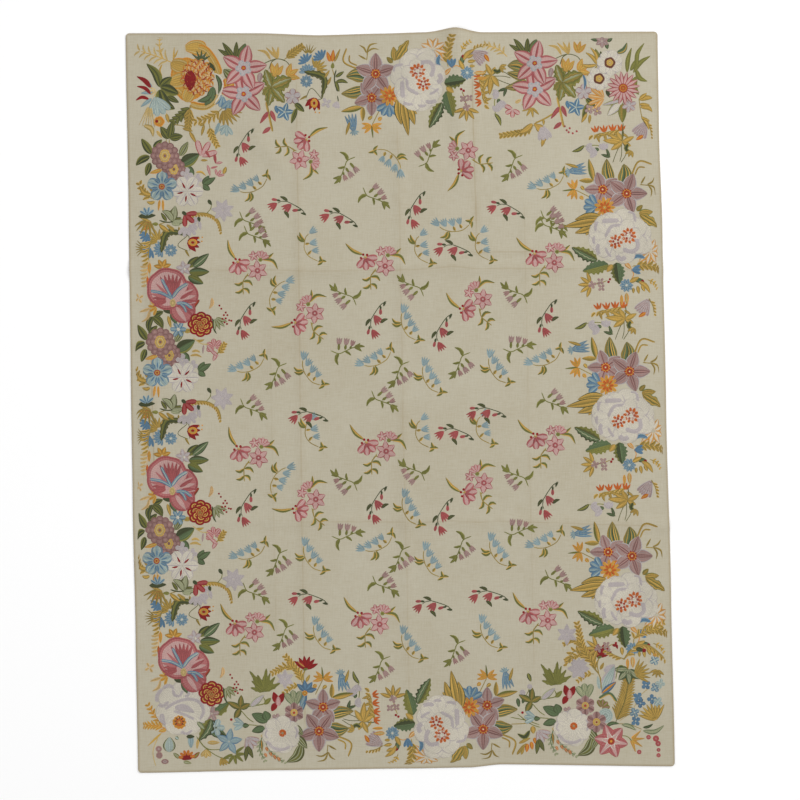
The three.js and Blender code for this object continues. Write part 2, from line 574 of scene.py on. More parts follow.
def resample(points: Array, count: int) -> Array:
    """Points at even distances on a smooth curve through the given ones.

    Args:
        points: two or more points.
        count: how many points to give back.

    Returns:
        The even points.
    """
    ends = np.vstack([2 * points[0] - points[1], points, 2 * points[-1] - points[-2]])
    share = np.linspace(0, 1, 9)[:-1, None]
    pieces = [
        0.5 * (2 * b + (c - a) * share + (2 * a - 5 * b + 4 * c - d) * share**2
               + (3 * b - a - 3 * c + d) * share**3)
        for a, b, c, d in zip(ends, ends[1:], ends[2:], ends[3:])
    ]
    curve = np.vstack([*pieces, points[-1:]])
    travel = np.concatenate([[0.0], np.cumsum(np.linalg.norm(np.diff(curve, axis=0), axis=1))])
    even = np.linspace(0, travel[-1], count)
    return np.stack([np.interp(even, travel, curve[:, 0]), np.interp(even, travel, curve[:, 1])], axis=-1)


def bowed(x: float, y: float, to_x: float, to_y: float, bow: float) -> Array:
    """Three points of an arc from one point to another, with its middle off the chord by a share of it."""
    middle = ((x + to_x) / 2 - (to_y - y) * bow, (y + to_y) / 2 + (to_x - x) * bow)
    return np.array([(x, y), middle, (to_x, to_y)], dtype=float)


@dataclass(frozen=True)
class Leaf:
    """One leaf, petal or stroke from a base to a tip, in rows; bow bends it, teeth make its edge jagged."""

    x: float
    y: float
    to_x: float
    to_y: float
    width: float
    yarns: Yarns
    bow: float = 0.0
    outline: Outline = Outline.LEAF
    across: bool = False
    teeth: int = 0

    def sew(self, work: Needlework, place: Place) -> None:
        """Stitches the leaf."""
        spine = bowed(self.x, self.y, self.to_x, self.to_y, self.bow)
        work.cover(work.strip(place, spine, self.width, self.yarns, self.outline, self.across, self.teeth))


@dataclass(frozen=True)
class Stem:
    """A line of stitches through points, in rows."""

    points: tuple[tuple[float, float], ...]
    yarns: Yarns
    width: float = 1.1

    def sew(self, work: Needlework, place: Place) -> None:
        """Stitches the stem."""
        work.cover(work.strip(place, np.array(self.points, dtype=float), self.width, self.yarns, across=True))


@dataclass(frozen=True)
class Disc:
    """A round or lobed patch of rings, with yarns from the outside in."""

    x: float
    y: float
    radius: float
    yarns: Yarns
    lobes: int = 0
    depth: float = 0.0
    oval: float = 1.0
    turn: float = 0.0

    def sew(self, work: Needlework, place: Place) -> None:
        """Stitches the disc."""
        inner = place.within(self.x, self.y, self.turn)
        work.cover(work.ring(inner, self.radius, self.yarns, self.lobes, self.depth, self.oval), closed=True)


@dataclass(frozen=True)
class Petals:
    """Petals or strokes round a middle: all the way round, or over a spread of degrees about a heading."""

    x: float
    y: float
    reach: float
    count: int
    width: float
    yarns: Yarns
    turn: float = 90.0
    spread: float = 360.0
    start: float = 0.0
    outline: Outline = Outline.PETAL

    def sew(self, work: Needlework, place: Place) -> None:
        """Stitches the petals as one layer.

        Args:
            work: the needlework.
            place: where the motif is.
        """
        whole = self.spread >= 360
        steps = self.count if whole else self.count - 1
        drawn = []
        for index in range(self.count):
            aside = self.spread * index / steps if whole else self.spread * (index / steps - 0.5)
            inner = place.within(self.x, self.y, self.turn + aside)
            spine = bowed(self.start, 0.0, self.reach, 0.0, 0.0)
            drawn.append(work.strip(inner, spine, self.width, self.yarns, self.outline))
        for lines in drawn:
            work.cover(lines)


@dataclass(frozen=True)
class Comb:
    """A row of strokes along a stem, on one side or both, like a feather.

    tooth is the first stroke's length, and the last is shorter by taper. lean is a stroke's angle to
    the stem.
    """

    points: tuple[tuple[float, float], ...]
    tooth: float
    count: int
    yarns: Yarns
    lean: float = 50.0
    sides: tuple[int, ...] = (1, -1)
    width: float = 1.3
    stem_width: float = 1.2
    taper: float = 0.35
    bow: float = 0.12
    plump: float = 1.3

    def sew(self, work: Needlework, place: Place) -> None:
        """Stitches the stem and then its strokes.

        Args:
            work: the needlework.
            place: where the motif is.
        """
        spine = resample(np.array(self.points, dtype=float), self.count + 1)
        heading = np.degrees(np.arctan2(*np.gradient(spine, axis=0).T[::-1]))
        drawn = [work.strip(place, spine, self.stem_width, self.yarns[:1])]
        for index in range(1, self.count + 1):
            reach = self.tooth * (1 - self.taper * index / self.count)
            for side in self.sides:
                inner = place.within(*spine[index], heading[index] + side * self.lean)
                arc = bowed(0.0, 0.0, reach, 0.0, -self.bow * side)
                drawn.append(work.strip(inner, arc, self.width * self.plump, self.yarns[::-1], Outline.LEAF))
        for lines in drawn:
            work.cover(lines)


@dataclass(frozen=True)
class Knots:
    """Small round knots at points."""

    points: tuple[tuple[float, float], ...]
    radius: float
    yarn: Yarn

    def sew(self, work: Needlework, place: Place) -> None:
        """Stitches the knots."""
        for x, y in self.points:
            work.cover(work.ring(place.within(x, y), self.radius, (self.yarn,)), closed=True)


Parts = tuple[Leaf | Stem | Disc | Petals | Comb | Knots, ...]

DARK = (FOREST, DARK_OLIVE)
TWO_TONE = (OLIVE, GOLD)
GOLDEN = (BRASS, GOLD)
MOSSY = (OLIVE, MOSS)
BELL_PINK = (CORAL, ROSE)
BELL_BLUE = (SKY, AQUA)
BUD = (MAUVE, LILAC)
BLOSSOM = (PINK, PALE_PINK)
BLOSSOM_EDGED = (ROSE, PALE_PINK)


def leaves(yarns: Yarns, *rows: tuple[float, ...], **look: object) -> tuple[Leaf, ...]:
    """Leaves of the same yarns, from rows of x, y, to_x, to_y, width and, where one bends, bow."""
    return tuple(Leaf(*row[:5], yarns, *row[5:], **look) for row in rows)


def split_leaves(yarns: Yarns, *rows: tuple[float, ...]) -> tuple[Leaf, ...]:
    """Leaves whose yarns go from the left edge to the right one, from the same rows as leaves."""
    return leaves(yarns, *rows, across=True)


def petals(yarns: Yarns, *rows: tuple[float, ...], **look: object) -> tuple[Petals, ...]:
    """Rounds or fans of petals, from rows of x, y, reach, count, width and maybe turn, spread and start."""
    return tuple(Petals(*row[:5], yarns, *row[5:], **look) for row in rows)


def strokes(yarns: Yarns, *rows: tuple[float, ...]) -> tuple[Petals, ...]:
    """Rounds or fans of pointed strokes, from the same rows as petals."""
    return petals(yarns, *rows, outline=LEAF)


def shades(*rows: tuple) -> tuple[Stem, ...]:
    """Pale shadow lines on a white flower, from rows of a width and then points."""
    return tuple(Stem(row[1:], (LAVENDER,), row[0]) for row in rows)


def polar(x: float, y: float, reach: float, angle: float, oval: float = 1.0) -> tuple[float, float]:
    """The point at a reach and an angle in radians from another one."""
    return x + reach * math.cos(angle), y + oval * reach * math.sin(angle)


def bell(x: float, y: float, turn: float, reach: float, yarns: Yarns) -> Petals:
    """A small bell flower: strokes that open from a base towards a heading."""
    return Petals(x, y, reach, 4, reach * 0.25, yarns, turn, 48, 0.0, LEAF)


PINK_BELLS: Parts = (
    Stem(((10.8, 18.5), (4.5, 15.3), (-1.9, 6.4), (-5.7, 0), (-9, -4.5)), (FOREST,)),
    Stem(((-5.1, 0), (-5.8, -5), (-4, -9.5)), (FOREST,), 0.9),
    *leaves(DARK, (9, 19, 7, 13, 2.6), (-6, 1.5, -10.8, -6.8, 3.2, -0.08)),
    Leaf(4.1, 12, 4.2, 4.6, 3.4, BELL_PINK, outline=PETAL), Leaf(4.3, 14.5, 4.2, 9.5, 2.2, DARK),
    bell(-2.2, 4.8, -56, 11.5, BELL_PINK), Leaf(4.2, -3.4, 12, 1, 3.6, DARK, 0.14),
    Leaf(-7.2, -8.2, -8.8, -15.2, 3.2, BELL_PINK, outline=PETAL),
    Leaf(-6.4, -5.6, -7.6, -10.4, 2.4, DARK), bell(-4.4, -9.4, -60, 11, BELL_PINK),
)
BLUE_BELLS: Parts = (
    *split_leaves(TWO_TONE, (-5.6, 4.6, -13.8, 11.4, 3.5, 0.16), (-5.6, 5.4, -11.4, 14.6, 3.5, 0.12)),
    Stem(((-6, 5.5), (-5, 9.5), (-1.8, 12.8)), (BRASS,)),
    Stem(((-6, 5.5), (-6.6, -2.2), (-2.2, -9.8), (7.4, -14.9)), (BRASS,)), bell(-1.6, 13, 36, 9.5, BELL_BLUE),
    bell(-1.8, 2.8, 12, 9.5, BELL_BLUE), bell(0.6, -4.2, 2, 8.5, BELL_BLUE),
    *split_leaves(GOLDEN, (-6, 2.2, -1.2, 3, 3), (-3.4, -8.6, 0.8, -4, 3)),
    *split_leaves(TWO_TONE, (7, -15.3, 16.4, -15.4, 3.5, 0.1), (12, -15.2, 9, -8.8, 3, 0.1),
        (12, -15.6, 6.2, -19, 3)),
)
BELL_ROW: Parts = (
    *split_leaves(TWO_TONE, (-8.3, -1.9, -18.6, 1.6, 3.5, 0.24), (-7.8, -3.2, -18.2, -3.6, 3.5, 0.24)),
    Stem(((-8.3, -1.9), (-9.4, 3), (-9, 8)), (BRASS,)),
    Stem(((-8.3, -1.9), (-6.4, -6.4), (0, -14), (8.9, -17.2)), (BRASS,)),
    bell(-8.8, 7.6, 78, 10.5, BELL_BLUE), bell(-6, 1.4, 60, 10, BELL_BLUE), bell(-1.6, -5, 56, 10, BELL_BLUE),
    bell(3.6, -9.6, 52, 8.5, BELL_BLUE),
    *split_leaves(GOLDEN, (-4.4, -8.6, -1.4, -4.2, 3.4), (1.2, -13, 3.8, -8.6, 3.4)),
    *split_leaves(TWO_TONE, (8.6, -17.2, 18.6, -16.4, 3.5, 0.08), (13, -16.8, 10, -10.8, 3, 0.1),
        (13, -17.2, 6.4, -21, 3)),
)
LILAC_BUDS: Parts = (
    Stem(((-10, 8), (-6.3, -0.4), (0, -3.2), (8.3, -6.4), (12.8, -10.8)), (OLIVE,), 1.3),
    *split_leaves(MOSSY, (-5.8, -0.4, -15, -8.8, 3.8, -0.22), (-6.6, 0, -13, -3.6, 2.6, -0.2),
        (-0.6, -3, 1, -11, 2.8, 0.12)),
    *strokes(BUD, (-0.8, 5.2, 9, 3, 2.8, 38, 34), (4, 0, 9, 3, 2.8, 36, 34),
        (7.6, -4.4, 7.6, 3, 2.6, 26, 34)),
    *leaves(MOSSY, (-4.4, 1.6, 1.4, 6.8, 3), (0.6, -2.4, 5.6, 1.2, 3)),
    Leaf(4.6, -5.4, 8.6, -3.4, 2.4, (OLIVE,)),
    *leaves(MOSSY, (9, -6.6, 16.8, -8.2, 3.2, -0.1), (10, -7.6, 17.4, -14.4, 3.2, 0.1),
        (9, -7, 11.6, -15.6, 3.2, 0.1)),
)


def blossom_spray(lean: float) -> Parts:
    """The spray of pink blossoms, its one long leaf leaning over by some degrees."""
    tip = polar(-10.5, 6.5, 22, math.radians(112 + lean))
    return (
        Leaf(-10.5, 6.5, *tip, 4, TWO_TONE, 0.1, across=True),
        Stem(((2.5, -7), (-1, -12), (-3.3, -16), (-3, -29)), (BRASS,), 1.4),
        Stem(((7, -12), (1, -9.6), (-2.4, -14)), (BRASS,)),
        *split_leaves(TWO_TONE, (-3.3, -15.4, -12.6, -17.4, 3.6, 0.26), (-3.3, -15.8, 6.6, -20.4, 3.6, 0.26),
                      (-3.3, -22.4, -12, -26.4, 3.6, 0.22), (-3.3, -22.6, 3, -28.6, 3.6, 0.26),
                      (14.5, 6, 27.6, 13.4, 3.8, -0.1), (16, 6.4, 31.8, -4, 3.8, 0.24)),
        Petals(14.4, 6.6, 9.6, 4, 4.2, BLOSSOM, 66, 84, 0.4),
        Petals(7.2, 10, 6, 5, 4.6, BLOSSOM_EDGED, 100, outline=POINT),
        Disc(14, 6, 2.2, (MOSS,)),
        Petals(-8.6, 3.4, 13, 4, 7.4, (ROSE, PINK, PALE_PINK, PALE_PINK), -64, 128),
        *strokes((ROSE, PINK), (-8.6, 3.4, 8, 3, 2.6, -64, 80)),
        Petals(11.3, -4.8, 11, 6, 7, (ROSE, PALE_PINK, PALE_PINK, PINK), 96, outline=POINT),
        Disc(11.3, -4.8, 3, BLOSSOM_EDGED),
        Stem(((-10, 5.6), (-8.4, 3)), (GOLD,), 0.9),
        Stem(((-7.2, 5.4), (-8.2, 3)), (GOLD,), 0.9),
        Knots(((-10.6, 6.8), (-6.8, 6.6), (-13, 3.4)), 1.4, CRIMSON),
    )


class Sprig(Enum):
    """The small sprigs of the field."""

    PINK_BELLS = "pink bells on a dark stem"
    BLUE_BELLS = "three blue bells on an arched stem"
    BELL_ROW = "four blue bells in a row"
    LILAC_BUDS = "three lilac buds"
    BLOSSOM = "pink blossoms with a long leaf"

    def parts(self, lean: float) -> Parts:
        """What the sprig is made of.

        Args:
            lean: how far the blossoms' long leaf leans over, in degrees.

        Returns:
            The parts.
        """
        kept = {
            Sprig.PINK_BELLS: PINK_BELLS,
            Sprig.BLUE_BELLS: BLUE_BELLS,
            Sprig.BELL_ROW: BELL_ROW,
            Sprig.LILAC_BUDS: LILAC_BUDS,
        }
        return kept[self] if self in kept else blossom_spray(lean)


@dataclass(frozen=True)
class Spot:
    """Where a sprig of the field goes, in rows and degrees, and how its long leaf leans in each repeat."""

    x: float
    y: float
    turn: float = 0.0
    lean: tuple[float, float] = (0.0, 0.0)


def spots(*rows: tuple) -> tuple[Spot, ...]:
    """Spots from rows of x, y and, where they aren't plain, turn and lean."""
    return tuple(Spot(*row) for row in rows)


@dataclass
class Field:
    """The scattered sprigs: one repeat, stitched twice, and the sprigs above and below it."""

    repeat_height: float = 187.0
    repeat_shrink: float = 0.015
    repeat_edge: float = 160.0
    repeat: tuple[tuple[Sprig, tuple[Spot, ...]], ...] = (
        (Sprig.PINK_BELLS, spots((-22.5, -102), (43.5, -113.5), (-153, -104.5), (148.5, -97.5),
                                 (54, -31, -80))),
        (Sprig.BLUE_BELLS, spots((-88, -29.5), (22.5, -30), (83, -26))),
        (Sprig.BELL_ROW, spots((-87, -151), (-26, -139.5, 82), (11, -103.5, -8), (32.5, -156, -5),
                               (-116.5, -76, -65), (-153, -147.5, 80), (99, -146), (143, -136.5, 80))),
        (Sprig.LILAC_BUDS, spots((-52.5, -80.5, 180), (15, -70.5, 180), (-56, -131.5, 45), (3, -153, -90),
                                 (64, -143, -90), (-17.5, -180), (-119.5, -156.5, -90), (-149.5, -3),
                                 (151.5, 3), (118.5, -76, 180), (116, -127, 45))),
        (Sprig.BLOSSOM, spots((-25, -43.5, 0, (21, 35)), (-152.5, -50), (144, -37.5, 0, (25, 27)),
                              (-95, -102, 50, (17, 29)), (73, -85.5, 50, (-26, -31)))),
    )
    others: tuple[tuple[Sprig, tuple[Spot, ...]], ...] = (
        (Sprig.PINK_BELLS, spots((-155.5, 255.5), (-113, 196, -86), (-61, 184.5, -88), (16, 193),
                                 (106, 193, -88), (-92, -14, -75), (86, -10, -75), (-92, -196, -78),
                                 (32, -203, -75), (88, -193, -75))),
        (Sprig.BELL_ROW, spots((-151, 219, 80), (-10, 239, 195), (145.5, 222, 80), (50.5, 180, 58),
                               (-77, -230), (11, -239), (90, -228))),
        (Sprig.LILAC_BUDS, spots((-52, 236, -90), (26, 246, 90), (-27, 208), (115.5, 238, -90), (150, 179),
                                 (-146, 170), (-147, -187), (-113, -231, -90), (-17, -263, -90),
                                 (58, -247, -90), (155, -174))),
        (Sprig.BLOSSOM, spots((-96.5, 254.5, -85), (64.5, 240.5, 95, (30, 30)), (-156.6, -224.5, 0, (13, 13)),
                              (-31.5, -216.5, 0, (19, 19)), (136.5, -212.5, 0, (16, 16)))),
    )

    def sew(self, work: Needlework) -> None:
        """Stitches every sprig, the second repeat a little closer above the first at its right.

        Args:
            work: the needlework.
        """
        for tier in (0, 1):
            for sprig, places in self.repeat:
                for spot in places:
                    rise = self.repeat_height - self.repeat_shrink * (spot.x + self.repeat_edge)
                    place = Place(spot.x - tier, spot.y + tier * rise, spot.turn)
                    sew_parts(work, sprig.parts(spot.lean[tier]), place)
        for sprig, places in self.others:
            for spot in places:
                sew_parts(work, sprig.parts(spot.lean[0]), Place(spot.x, spot.y, spot.turn))


def sew_parts(work: Needlework, parts: Parts, place: Place) -> None:
    """Stitches a motif's parts in order, each over the ones before it."""
    for part in parts:
        part.sew(work, place)


GREEN = (FOREST, OLIVE, DARK_OLIVE)
SPLIT_LEAF = (FOREST, OLIVE, FOREST, OLIVE, MOSS)
TEAL_LEAF = (FOREST, TEAL, TEAL, FOREST)
SERRATED = (FOREST, TEAL, SAGE, TEAL, DARK_OLIVE, OLIVE, MOSS, OLIVE)
STRIPED = (BRASS, TEAL, GOLD, TEAL, FOREST, GOLD, TEAL, GOLD, TEAL, BRASS)
OLIVE_STRIPED = (DARK_OLIVE, SAGE, OLIVE, SAGE, DARK_OLIVE, SAGE, OLIVE)
BLOOM_GOLD = (ORANGE, GOLD, STRAW, GOLD, GOLD)
OUTLINED = (DARK_OLIVE, GOLD, GOLD, BRASS)
STRAWS = (GOLD, STRAW)
FADED = (PEACH, STRAW)
AMBER = (FLAME, ORANGE)
YELLOWS = (ORANGE, GOLD)
BLUES = (BLUE, SKY)
SEA = (TEAL, SAGE)
PALE_LILAC = (LAVENDER,)
WHITE_PETAL = (LAVENDER, CREAM, CREAM, CREAM)
CORNFLOWER = (BLUE, BLUE, SKY)
STAR_PINK = (ROSE, PINK, PALE_PINK, PALE_PINK, PALE_PINK, ROSE, PALE_PINK)
CLEMATIS = (LAVENDER, LILAC, MAUVE, LILAC, MAUVE, PLUM, MAUVE)
MALLOW = (LILAC, MAUVE, MAUVE, PLUM)


def pink_star(x: float, y: float, turn: float) -> Parts:
    """A large pink flower of five pointed petals."""
    return (
        *strokes(STAR_PINK, (x, y, 23.8, 5, 13.6, turn, 360, 2)),
        Petals(x, y, 8.8, 5, 6, (SKY, LAVENDER), turn + 36, start=1),
        Petals(x, y, 7, 5, 4, PALE_LILAC, turn, start=1),
        Disc(x, y, 2.6, (RUST, ORANGE)),
    )


def clematis(x: float, y: float, reach: float, turn: float) -> Parts:
    """A mauve flower of five pale-edged petals round an orange eye."""
    return (
        *strokes(CLEMATIS, (x, y, reach * 1.06, 5, reach * 0.72, turn, 360, 1.5)),
        Petals(x, y, 5.6, 10, 2, (RUST,), start=2.2, outline=STRIP),
        Disc(x, y, 4.4, (ORANGE, RUST, RUST, ORANGE), 10, 0.2),
        Knots(((x, y),), 0.9, CREAM),
    )


def mallow(x: float, y: float, reach: float) -> Parts:
    """A small mauve flower with a yellow ring."""
    return Petals(x, y, reach, 6, reach * 0.8, MALLOW, 30), Disc(x, y, reach * 0.36, (GOLD, STRAW, RUST))


def pompon(x: float, y: float, radius: float) -> Parts:
    """A round mauve flower of small overlapping scallops round a yellow ring."""
    rings = [
        Disc(*polar(x, y, reach * radius, angle), radius * 0.27, (PLUM, MAUVE, MAUVE))
        for reach, count in ((0.8, 12), (0.5, 8))
        for angle in np.arange(count) * 2 * math.pi / count
    ]
    return (
        Disc(x, y, radius * 0.8, (MAUVE,)),
        *rings,
        Disc(x, y, radius * 0.42, (GOLD, STRAW, STRAW, GOLD, PLUM, MAUVE), 6, 0.1, 1.2),
    )


def rosette(x: float, y: float, radius: float) -> Parts:
    """A red rose of overlapping petals with gold rims."""
    rims = [
        Disc(*polar(x, y, reach * radius, angle), size * radius, (CRIMSON, GOLD, RUST, GOLD), oval=0.9)
        for reach, count, size in ((0.62, 8, 0.42), (0.36, 6, 0.42), (0.12, 3, 0.3))
        for angle in reach * 5 + np.arange(count) * 2 * math.pi / count
    ]
    return *rims, Disc(x, y, radius * 0.16, (DARK_OLIVE,))


def pollen(x: float, y: float, reach: float) -> Parts:
    """A mass of short curved strokes on a pale ground.

    Args:
        x: its middle's x.
        y: its middle's y.
        reach: its half-width.

    Returns:
        Its parts.
    """
    hairs = []
    rings = ((1.02, 30), (0.84, 25), (0.66, 20), (0.48, 14), (0.3, 9), (0.12, 4))
    oval = 1.12
    for ring, (radius, count) in enumerate(rings):
        for index in range(count):
            angle = 2 * math.pi * (index + 0.4 * ring) / count
            away = angle + (0.34, -0.3)[(index + ring) % 2] / radius ** 0.7
            inner, outer = reach * (radius - 0.2), reach * (radius + 0.03 * (index % 3))
            yarn = (RUST, ORANGE, FLAME, ORANGE)[(index * 3 + ring) % 4]
            ends = (*polar(x, y, inner, angle, oval), *polar(x, y, outer, away, oval))
            hairs.append(Leaf(*ends, 1.9, (yarn,), 0.2))
    return Disc(x, y, reach * 0.95, (PEACH,), 14, 0.06, oval), *hairs


def daisy(x: float, y: float, reach: float, yarns: Yarns = BLUES) -> Parts:
    """A small daisy of narrow petals."""
    return Petals(x, y, reach, 10, reach * 0.42, yarns), Disc(x, y, reach * 0.28, (SKY, CREAM))


def floret(x: float, y: float, turn: float) -> Parts:
    """An orange floret that opens towards a heading, on gold strokes."""
    calyx = strokes(GOLDEN, (x, y, 10, 2, 3, turn + 215, 60, 1))
    return *calyx, *strokes(AMBER, (x, y, 9, 3, 2.6, turn, 56, 1))


def lobed_leaf(x: float, y: float, reach: float, turn: float) -> Parts:
    """A vine leaf of five jagged lobes, striped lengthwise.

    Args:
        x: its base's x.
        y: its base's y.
        reach: its longest lobe's length, about.
        turn: its turn in degrees.

    Returns:
        Its parts.
    """
    stripes = (OLIVE, MOSS, BRASS, SAGE, MOSS, BRASS, OLIVE, MOSS, BRASS)
    lobes = ((85, 0.92, 0.66), (195, 0.6, 0.5), (235, 0.95, 0.62), (-75, 1.0, 0.66), (-2, 1.08, 0.86))
    return tuple(
        Leaf(x, y, *polar(x, y, reach * length, math.radians(turn + heading)), reach * width, stripes,
             across=True, teeth=4)
        for heading, length, width in lobes
    )


def white_daisy(x: float, y: float, reach: float) -> Parts:
    """A white flower of seven petals round a gold eye."""
    return (
        Petals(x, y, reach, 7, reach * 0.84, WHITE_PETAL, 20),
        Disc(x, y, 5.8, (BROWN, GOLD, STRAW), 5, 0.1),
        Knots(((x, y),), 0.9, BROWN),
    )


WHITE_ROSE: Parts = (
    Leaf(26, -3, 48, 0, 15, (TEAL, TEAL, FOREST, OLIVE), across=True, teeth=6),
    Leaf(28, -7, 36, -13, 6, GOLDEN),
    Leaf(28, -11, 35, -37, 15, (MOSS, MOSS, TEAL, TEAL), across=True, teeth=6),
    Leaf(24, -22, 11, -48, 14, SERRATED, across=True, teeth=6),
    *leaves(OUTLINED, (-20, -18, -16.5, -45, 8.6, -0.05), (-14, -21, -0.5, -34, 7, -0.05),
        (-14, -21, -3, -45, 8.6, 0.05), (-16, -20, -9.5, -56, 9)),
    Leaf(-25, 17, -31.6, 23.4, 5.4, (OLIVE, BRASS)),
    Leaf(-23, 19, -24.6, 34, 7.6, (OLIVE, GOLD, BRASS, GOLD)),
    Leaf(-22, 20, -9, 41, 10.6, (OLIVE, GOLD, BRASS, OLIVE, GOLD), teeth=3),
    Comb(((30, 12), (29, 27), (33, 42)), 10, 6, GOLDEN, 42, width=3.2),
    *strokes((ORANGE, PEACH, CREAM), (15, 31, 13.6, 6, 6.4, 92, 215, 1)),
    Leaf(16, 30, 26, 19, 6, (ORANGE, PEACH, CREAM)), Leaf(26, 5, 33, 12, 4.6, (ORANGE, PEACH)),
    Stem(((33, 12), (38, 14), (44, 12)), (ORANGE,)), Leaf(22, 26, 24, 11, 5, (SKY, BLUE), -0.22),
    Petals(34, 12, 10, 3, 3.6, CORNFLOWER, 95, 50),
    *petals(WHITE_PETAL, (3, 6, 27.6, 2, 21, 94, 40, 3), (0, 1, 28.5, 7, 21, 15, 360, 3),
        (0, -8, 24, 5, 19, 250, 150, 3)),
    Petals(0, 4, 18, 6, 15, (LAVENDER, CREAM, CREAM), 40, 360, 1), Disc(1, 1, 12, (CREAM,), 6, 0.1),
    *shades((2.6, (-24.5, 7.6), (-22.6, 14.5), (-14, 16)), (4.6, (-15.7, -0.3), (-15.7, -9), (-15, -18)),
        (3.4, (-11.2, 2), (-9.7, -8), (0.5, -14)), (4.6, (1.7, 17), (11, 18.3), (15.3, 12), (13, 3)),
        (5, (20, 7), (23, 2), (19.5, -3)), (3, (21, -8), (16, -12), (11, -14)),
        (3, (-15.5, -22), (-10, -24), (-5, -24)), (4, (7.4, -21), (13, -22), (19, -20)),
        (3, (0, -25), (4, -26), (8, -25))),
    *strokes((FLAME,), (-0.5, 9, 8.8, 10, 3.6, 100, 320, 3)),
    *strokes((RUST,), (-0.5, 9, 5.4, 6, 3, 60, 320, 0.8)),
    *strokes((FLAME,), (5.2, -3.6, 8, 8, 3.4, -70, 300, 2.8)),
    *strokes((RUST,), (5.2, -3.6, 4.6, 5, 3, -90, 290, 0.8)),
    Leaf(44, 15, 44, 25, 5, TEAL_LEAF), Knots(((45.2, 23),), 2, CRIMSON),
    Comb(((43, 27), (46, 34), (51, 38)), 5, 4, GOLDEN, 50, width=1.8), *daisy(49, 7, 7.4),
    *leaves(GOLDEN, (46, 10, 40.5, 20, 5), (45, 19, 57, 31, 5, 0.12), (49, 18, 58, 19.6, 4),
        (51, 14, 57.4, 14, 3.4), (48, 22, 55.6, 25.4, 4)),
    Leaf(58, 2, 69.6, 2.4, 3.4, YELLOWS), Leaf(56, 7, 68.4, 7.6, 4.6, (ORANGE, STRAW)),
    Knots(((43, -9.5), (45.6, -11)), 1.5, CRIMSON), Stem(((44, -12), (47, -20), (48, -28)), (BRASS,)),
    *petals(BUD, (45, -19, 4.4, 4, 3, 45), (51.4, -18, 4.4, 4, 3, 45)),
    *strokes(GOLDEN, (48.4, -28, 14, 5, 4.4, 270, 140, 2)),
    Petals(48.4, -27, 4.6, 4, 3.2, BUD, 20),
)
CLEMATIS_SPRAY: Parts = (
    Stem(((-16, 4), (-32, 12), (-29, 26)), GOLDEN, 2.1), Stem(((-18, 8), (-26, 12), (-26, 19)), GOLDEN, 1.8),
    *leaves(GOLDEN, (-9, 14, -18, 19, 2.2), (-9, 20, -17, 29, 2.2, -0.15), (-9, 21, 2.5, 30.6, 2.2, 0.25),
        (-9, 21, 4, 24, 2, 0.2)),
    Stem(((-9, 13), (-8, 22)), (BRASS,)),
    *split_leaves(STRIPED, (-8, -5, -30, -3, 14.4, -0.12), (-8, -15, -35, -20, 12.6, 0.06)),
    Leaf(-12.8, -33, -35, -38, 6.4, (OLIVE, BRASS, GOLD, GOLD, BRASS), across=True),
    Leaf(-12.8, -33, -13, -48, 5.4, GOLDEN, across=True),
    *strokes(BLUES, (-21.5, -59, 20, 4, 3.8, 102, 34)),
    *strokes((SKY,), (-21.5, -57, 6, 5, 2.2, -80, 130)), Leaf(-26, -48, -30, -62, 3.4, GOLDEN),
    Stem(((4, -36), (0, -44), (-4, -52)), (BRASS,)),
    *strokes(YELLOWS, (-4, -52, 11, 3, 3.6, 196, 60), (-4, -52, 11, 3, 3.6, -18, 60)),
    Leaf(-4, -52, -2.6, -65, 2, (OLIVE,)), Leaf(-8, -46, -3, -42, 4, GOLDEN),
    Leaf(2, -47, 6.5, -43, 4.4, YELLOWS), *clematis(-4, -24, 17.5, 126), *clematis(0, 0, 20, 90),
)
CLEMATIS_NEIGHBOURS: Parts = (
    Petals(13, -30, 14, 4, 7, (BLUE, BLUE, SKY), 258, 100), Leaf(12, -19, 4, -14, 3, AMBER, 0.2),
    Petals(14, -22, 11, 11, 3.8, YELLOWS),
    Petals(14, -22, 6.5, 8, 2.6, (FLAME,), 90, 360, 2, outline=STRIP),
)
STAR_LEAF_SPRAY: Parts = (
    Petals(-21, 25, 18.5, 6, 5, (LAVENDER, LILAC), -30, 48, 1),
    Comb(((-21, 25), (-13, 29), (-6, 30)), 6, 5, GOLDEN, 45, (1,), 2.2), Leaf(-7, 22, -2, 14, 4, AMBER),
    Comb(((-14, 4), (-11, -10), (-7, -28)), 11, 6, GOLDEN, 36, (1,), 2.8), *floret(-10, -1, 172),
    *floret(-10, -9, 180), *floret(-9, -17, 188), *floret(-8.6, -25, 194),
    Stem(((0, 1), (10, 5), (21, -1)), (DARK_OLIVE,), 0.9),
    Stem(((0, 0), (10, -5), (21, -9)), (DARK_OLIVE,), 0.9),
    Stem(((0, 0), (12, 0), (20, -2)), (DARK_OLIVE,), 0.9),
    Stem(((0, 0), (-8, 2), (-14, 1)), (DARK_OLIVE,), 0.9),
    *leaves(GOLDEN, (0, 1, -6, 13, 5.4), (0, 1, -11, -5, 6), (0, 1, -8, -13, 5), (0, 1, -2, -19, 6.4),
        (0, 1, 8, -11, 6), (0, 1, 4, 10, 4.6)),
    Leaf(1, 7, 10, 10, 4.8, (MOSS, FOREST), -0.45), *strokes(GOLDEN, (8, 10, 8, 3, 3.4, -25, 70)),
    Stem(((15, -11), (6, -17), (3, -26), (4, -38)), (MOSS,)),
    *leaves(TEAL_LEAF, (15, -11, 12, -21, 3.6), (15, -12, 6, -15, 3.2), (8, -22, 6, -28, 4)),
    Leaf(3, -37, 9.5, -50, 4.4, (FOREST, MOSS), 0.1),
    *petals(PALE_LILAC, (8, -18, 8, 3, 4.6, 180, 66), (11, -24, 9, 3, 4.6, 262, 66),
        (5, -36, 8, 3, 4.4, 85, 66)),
)
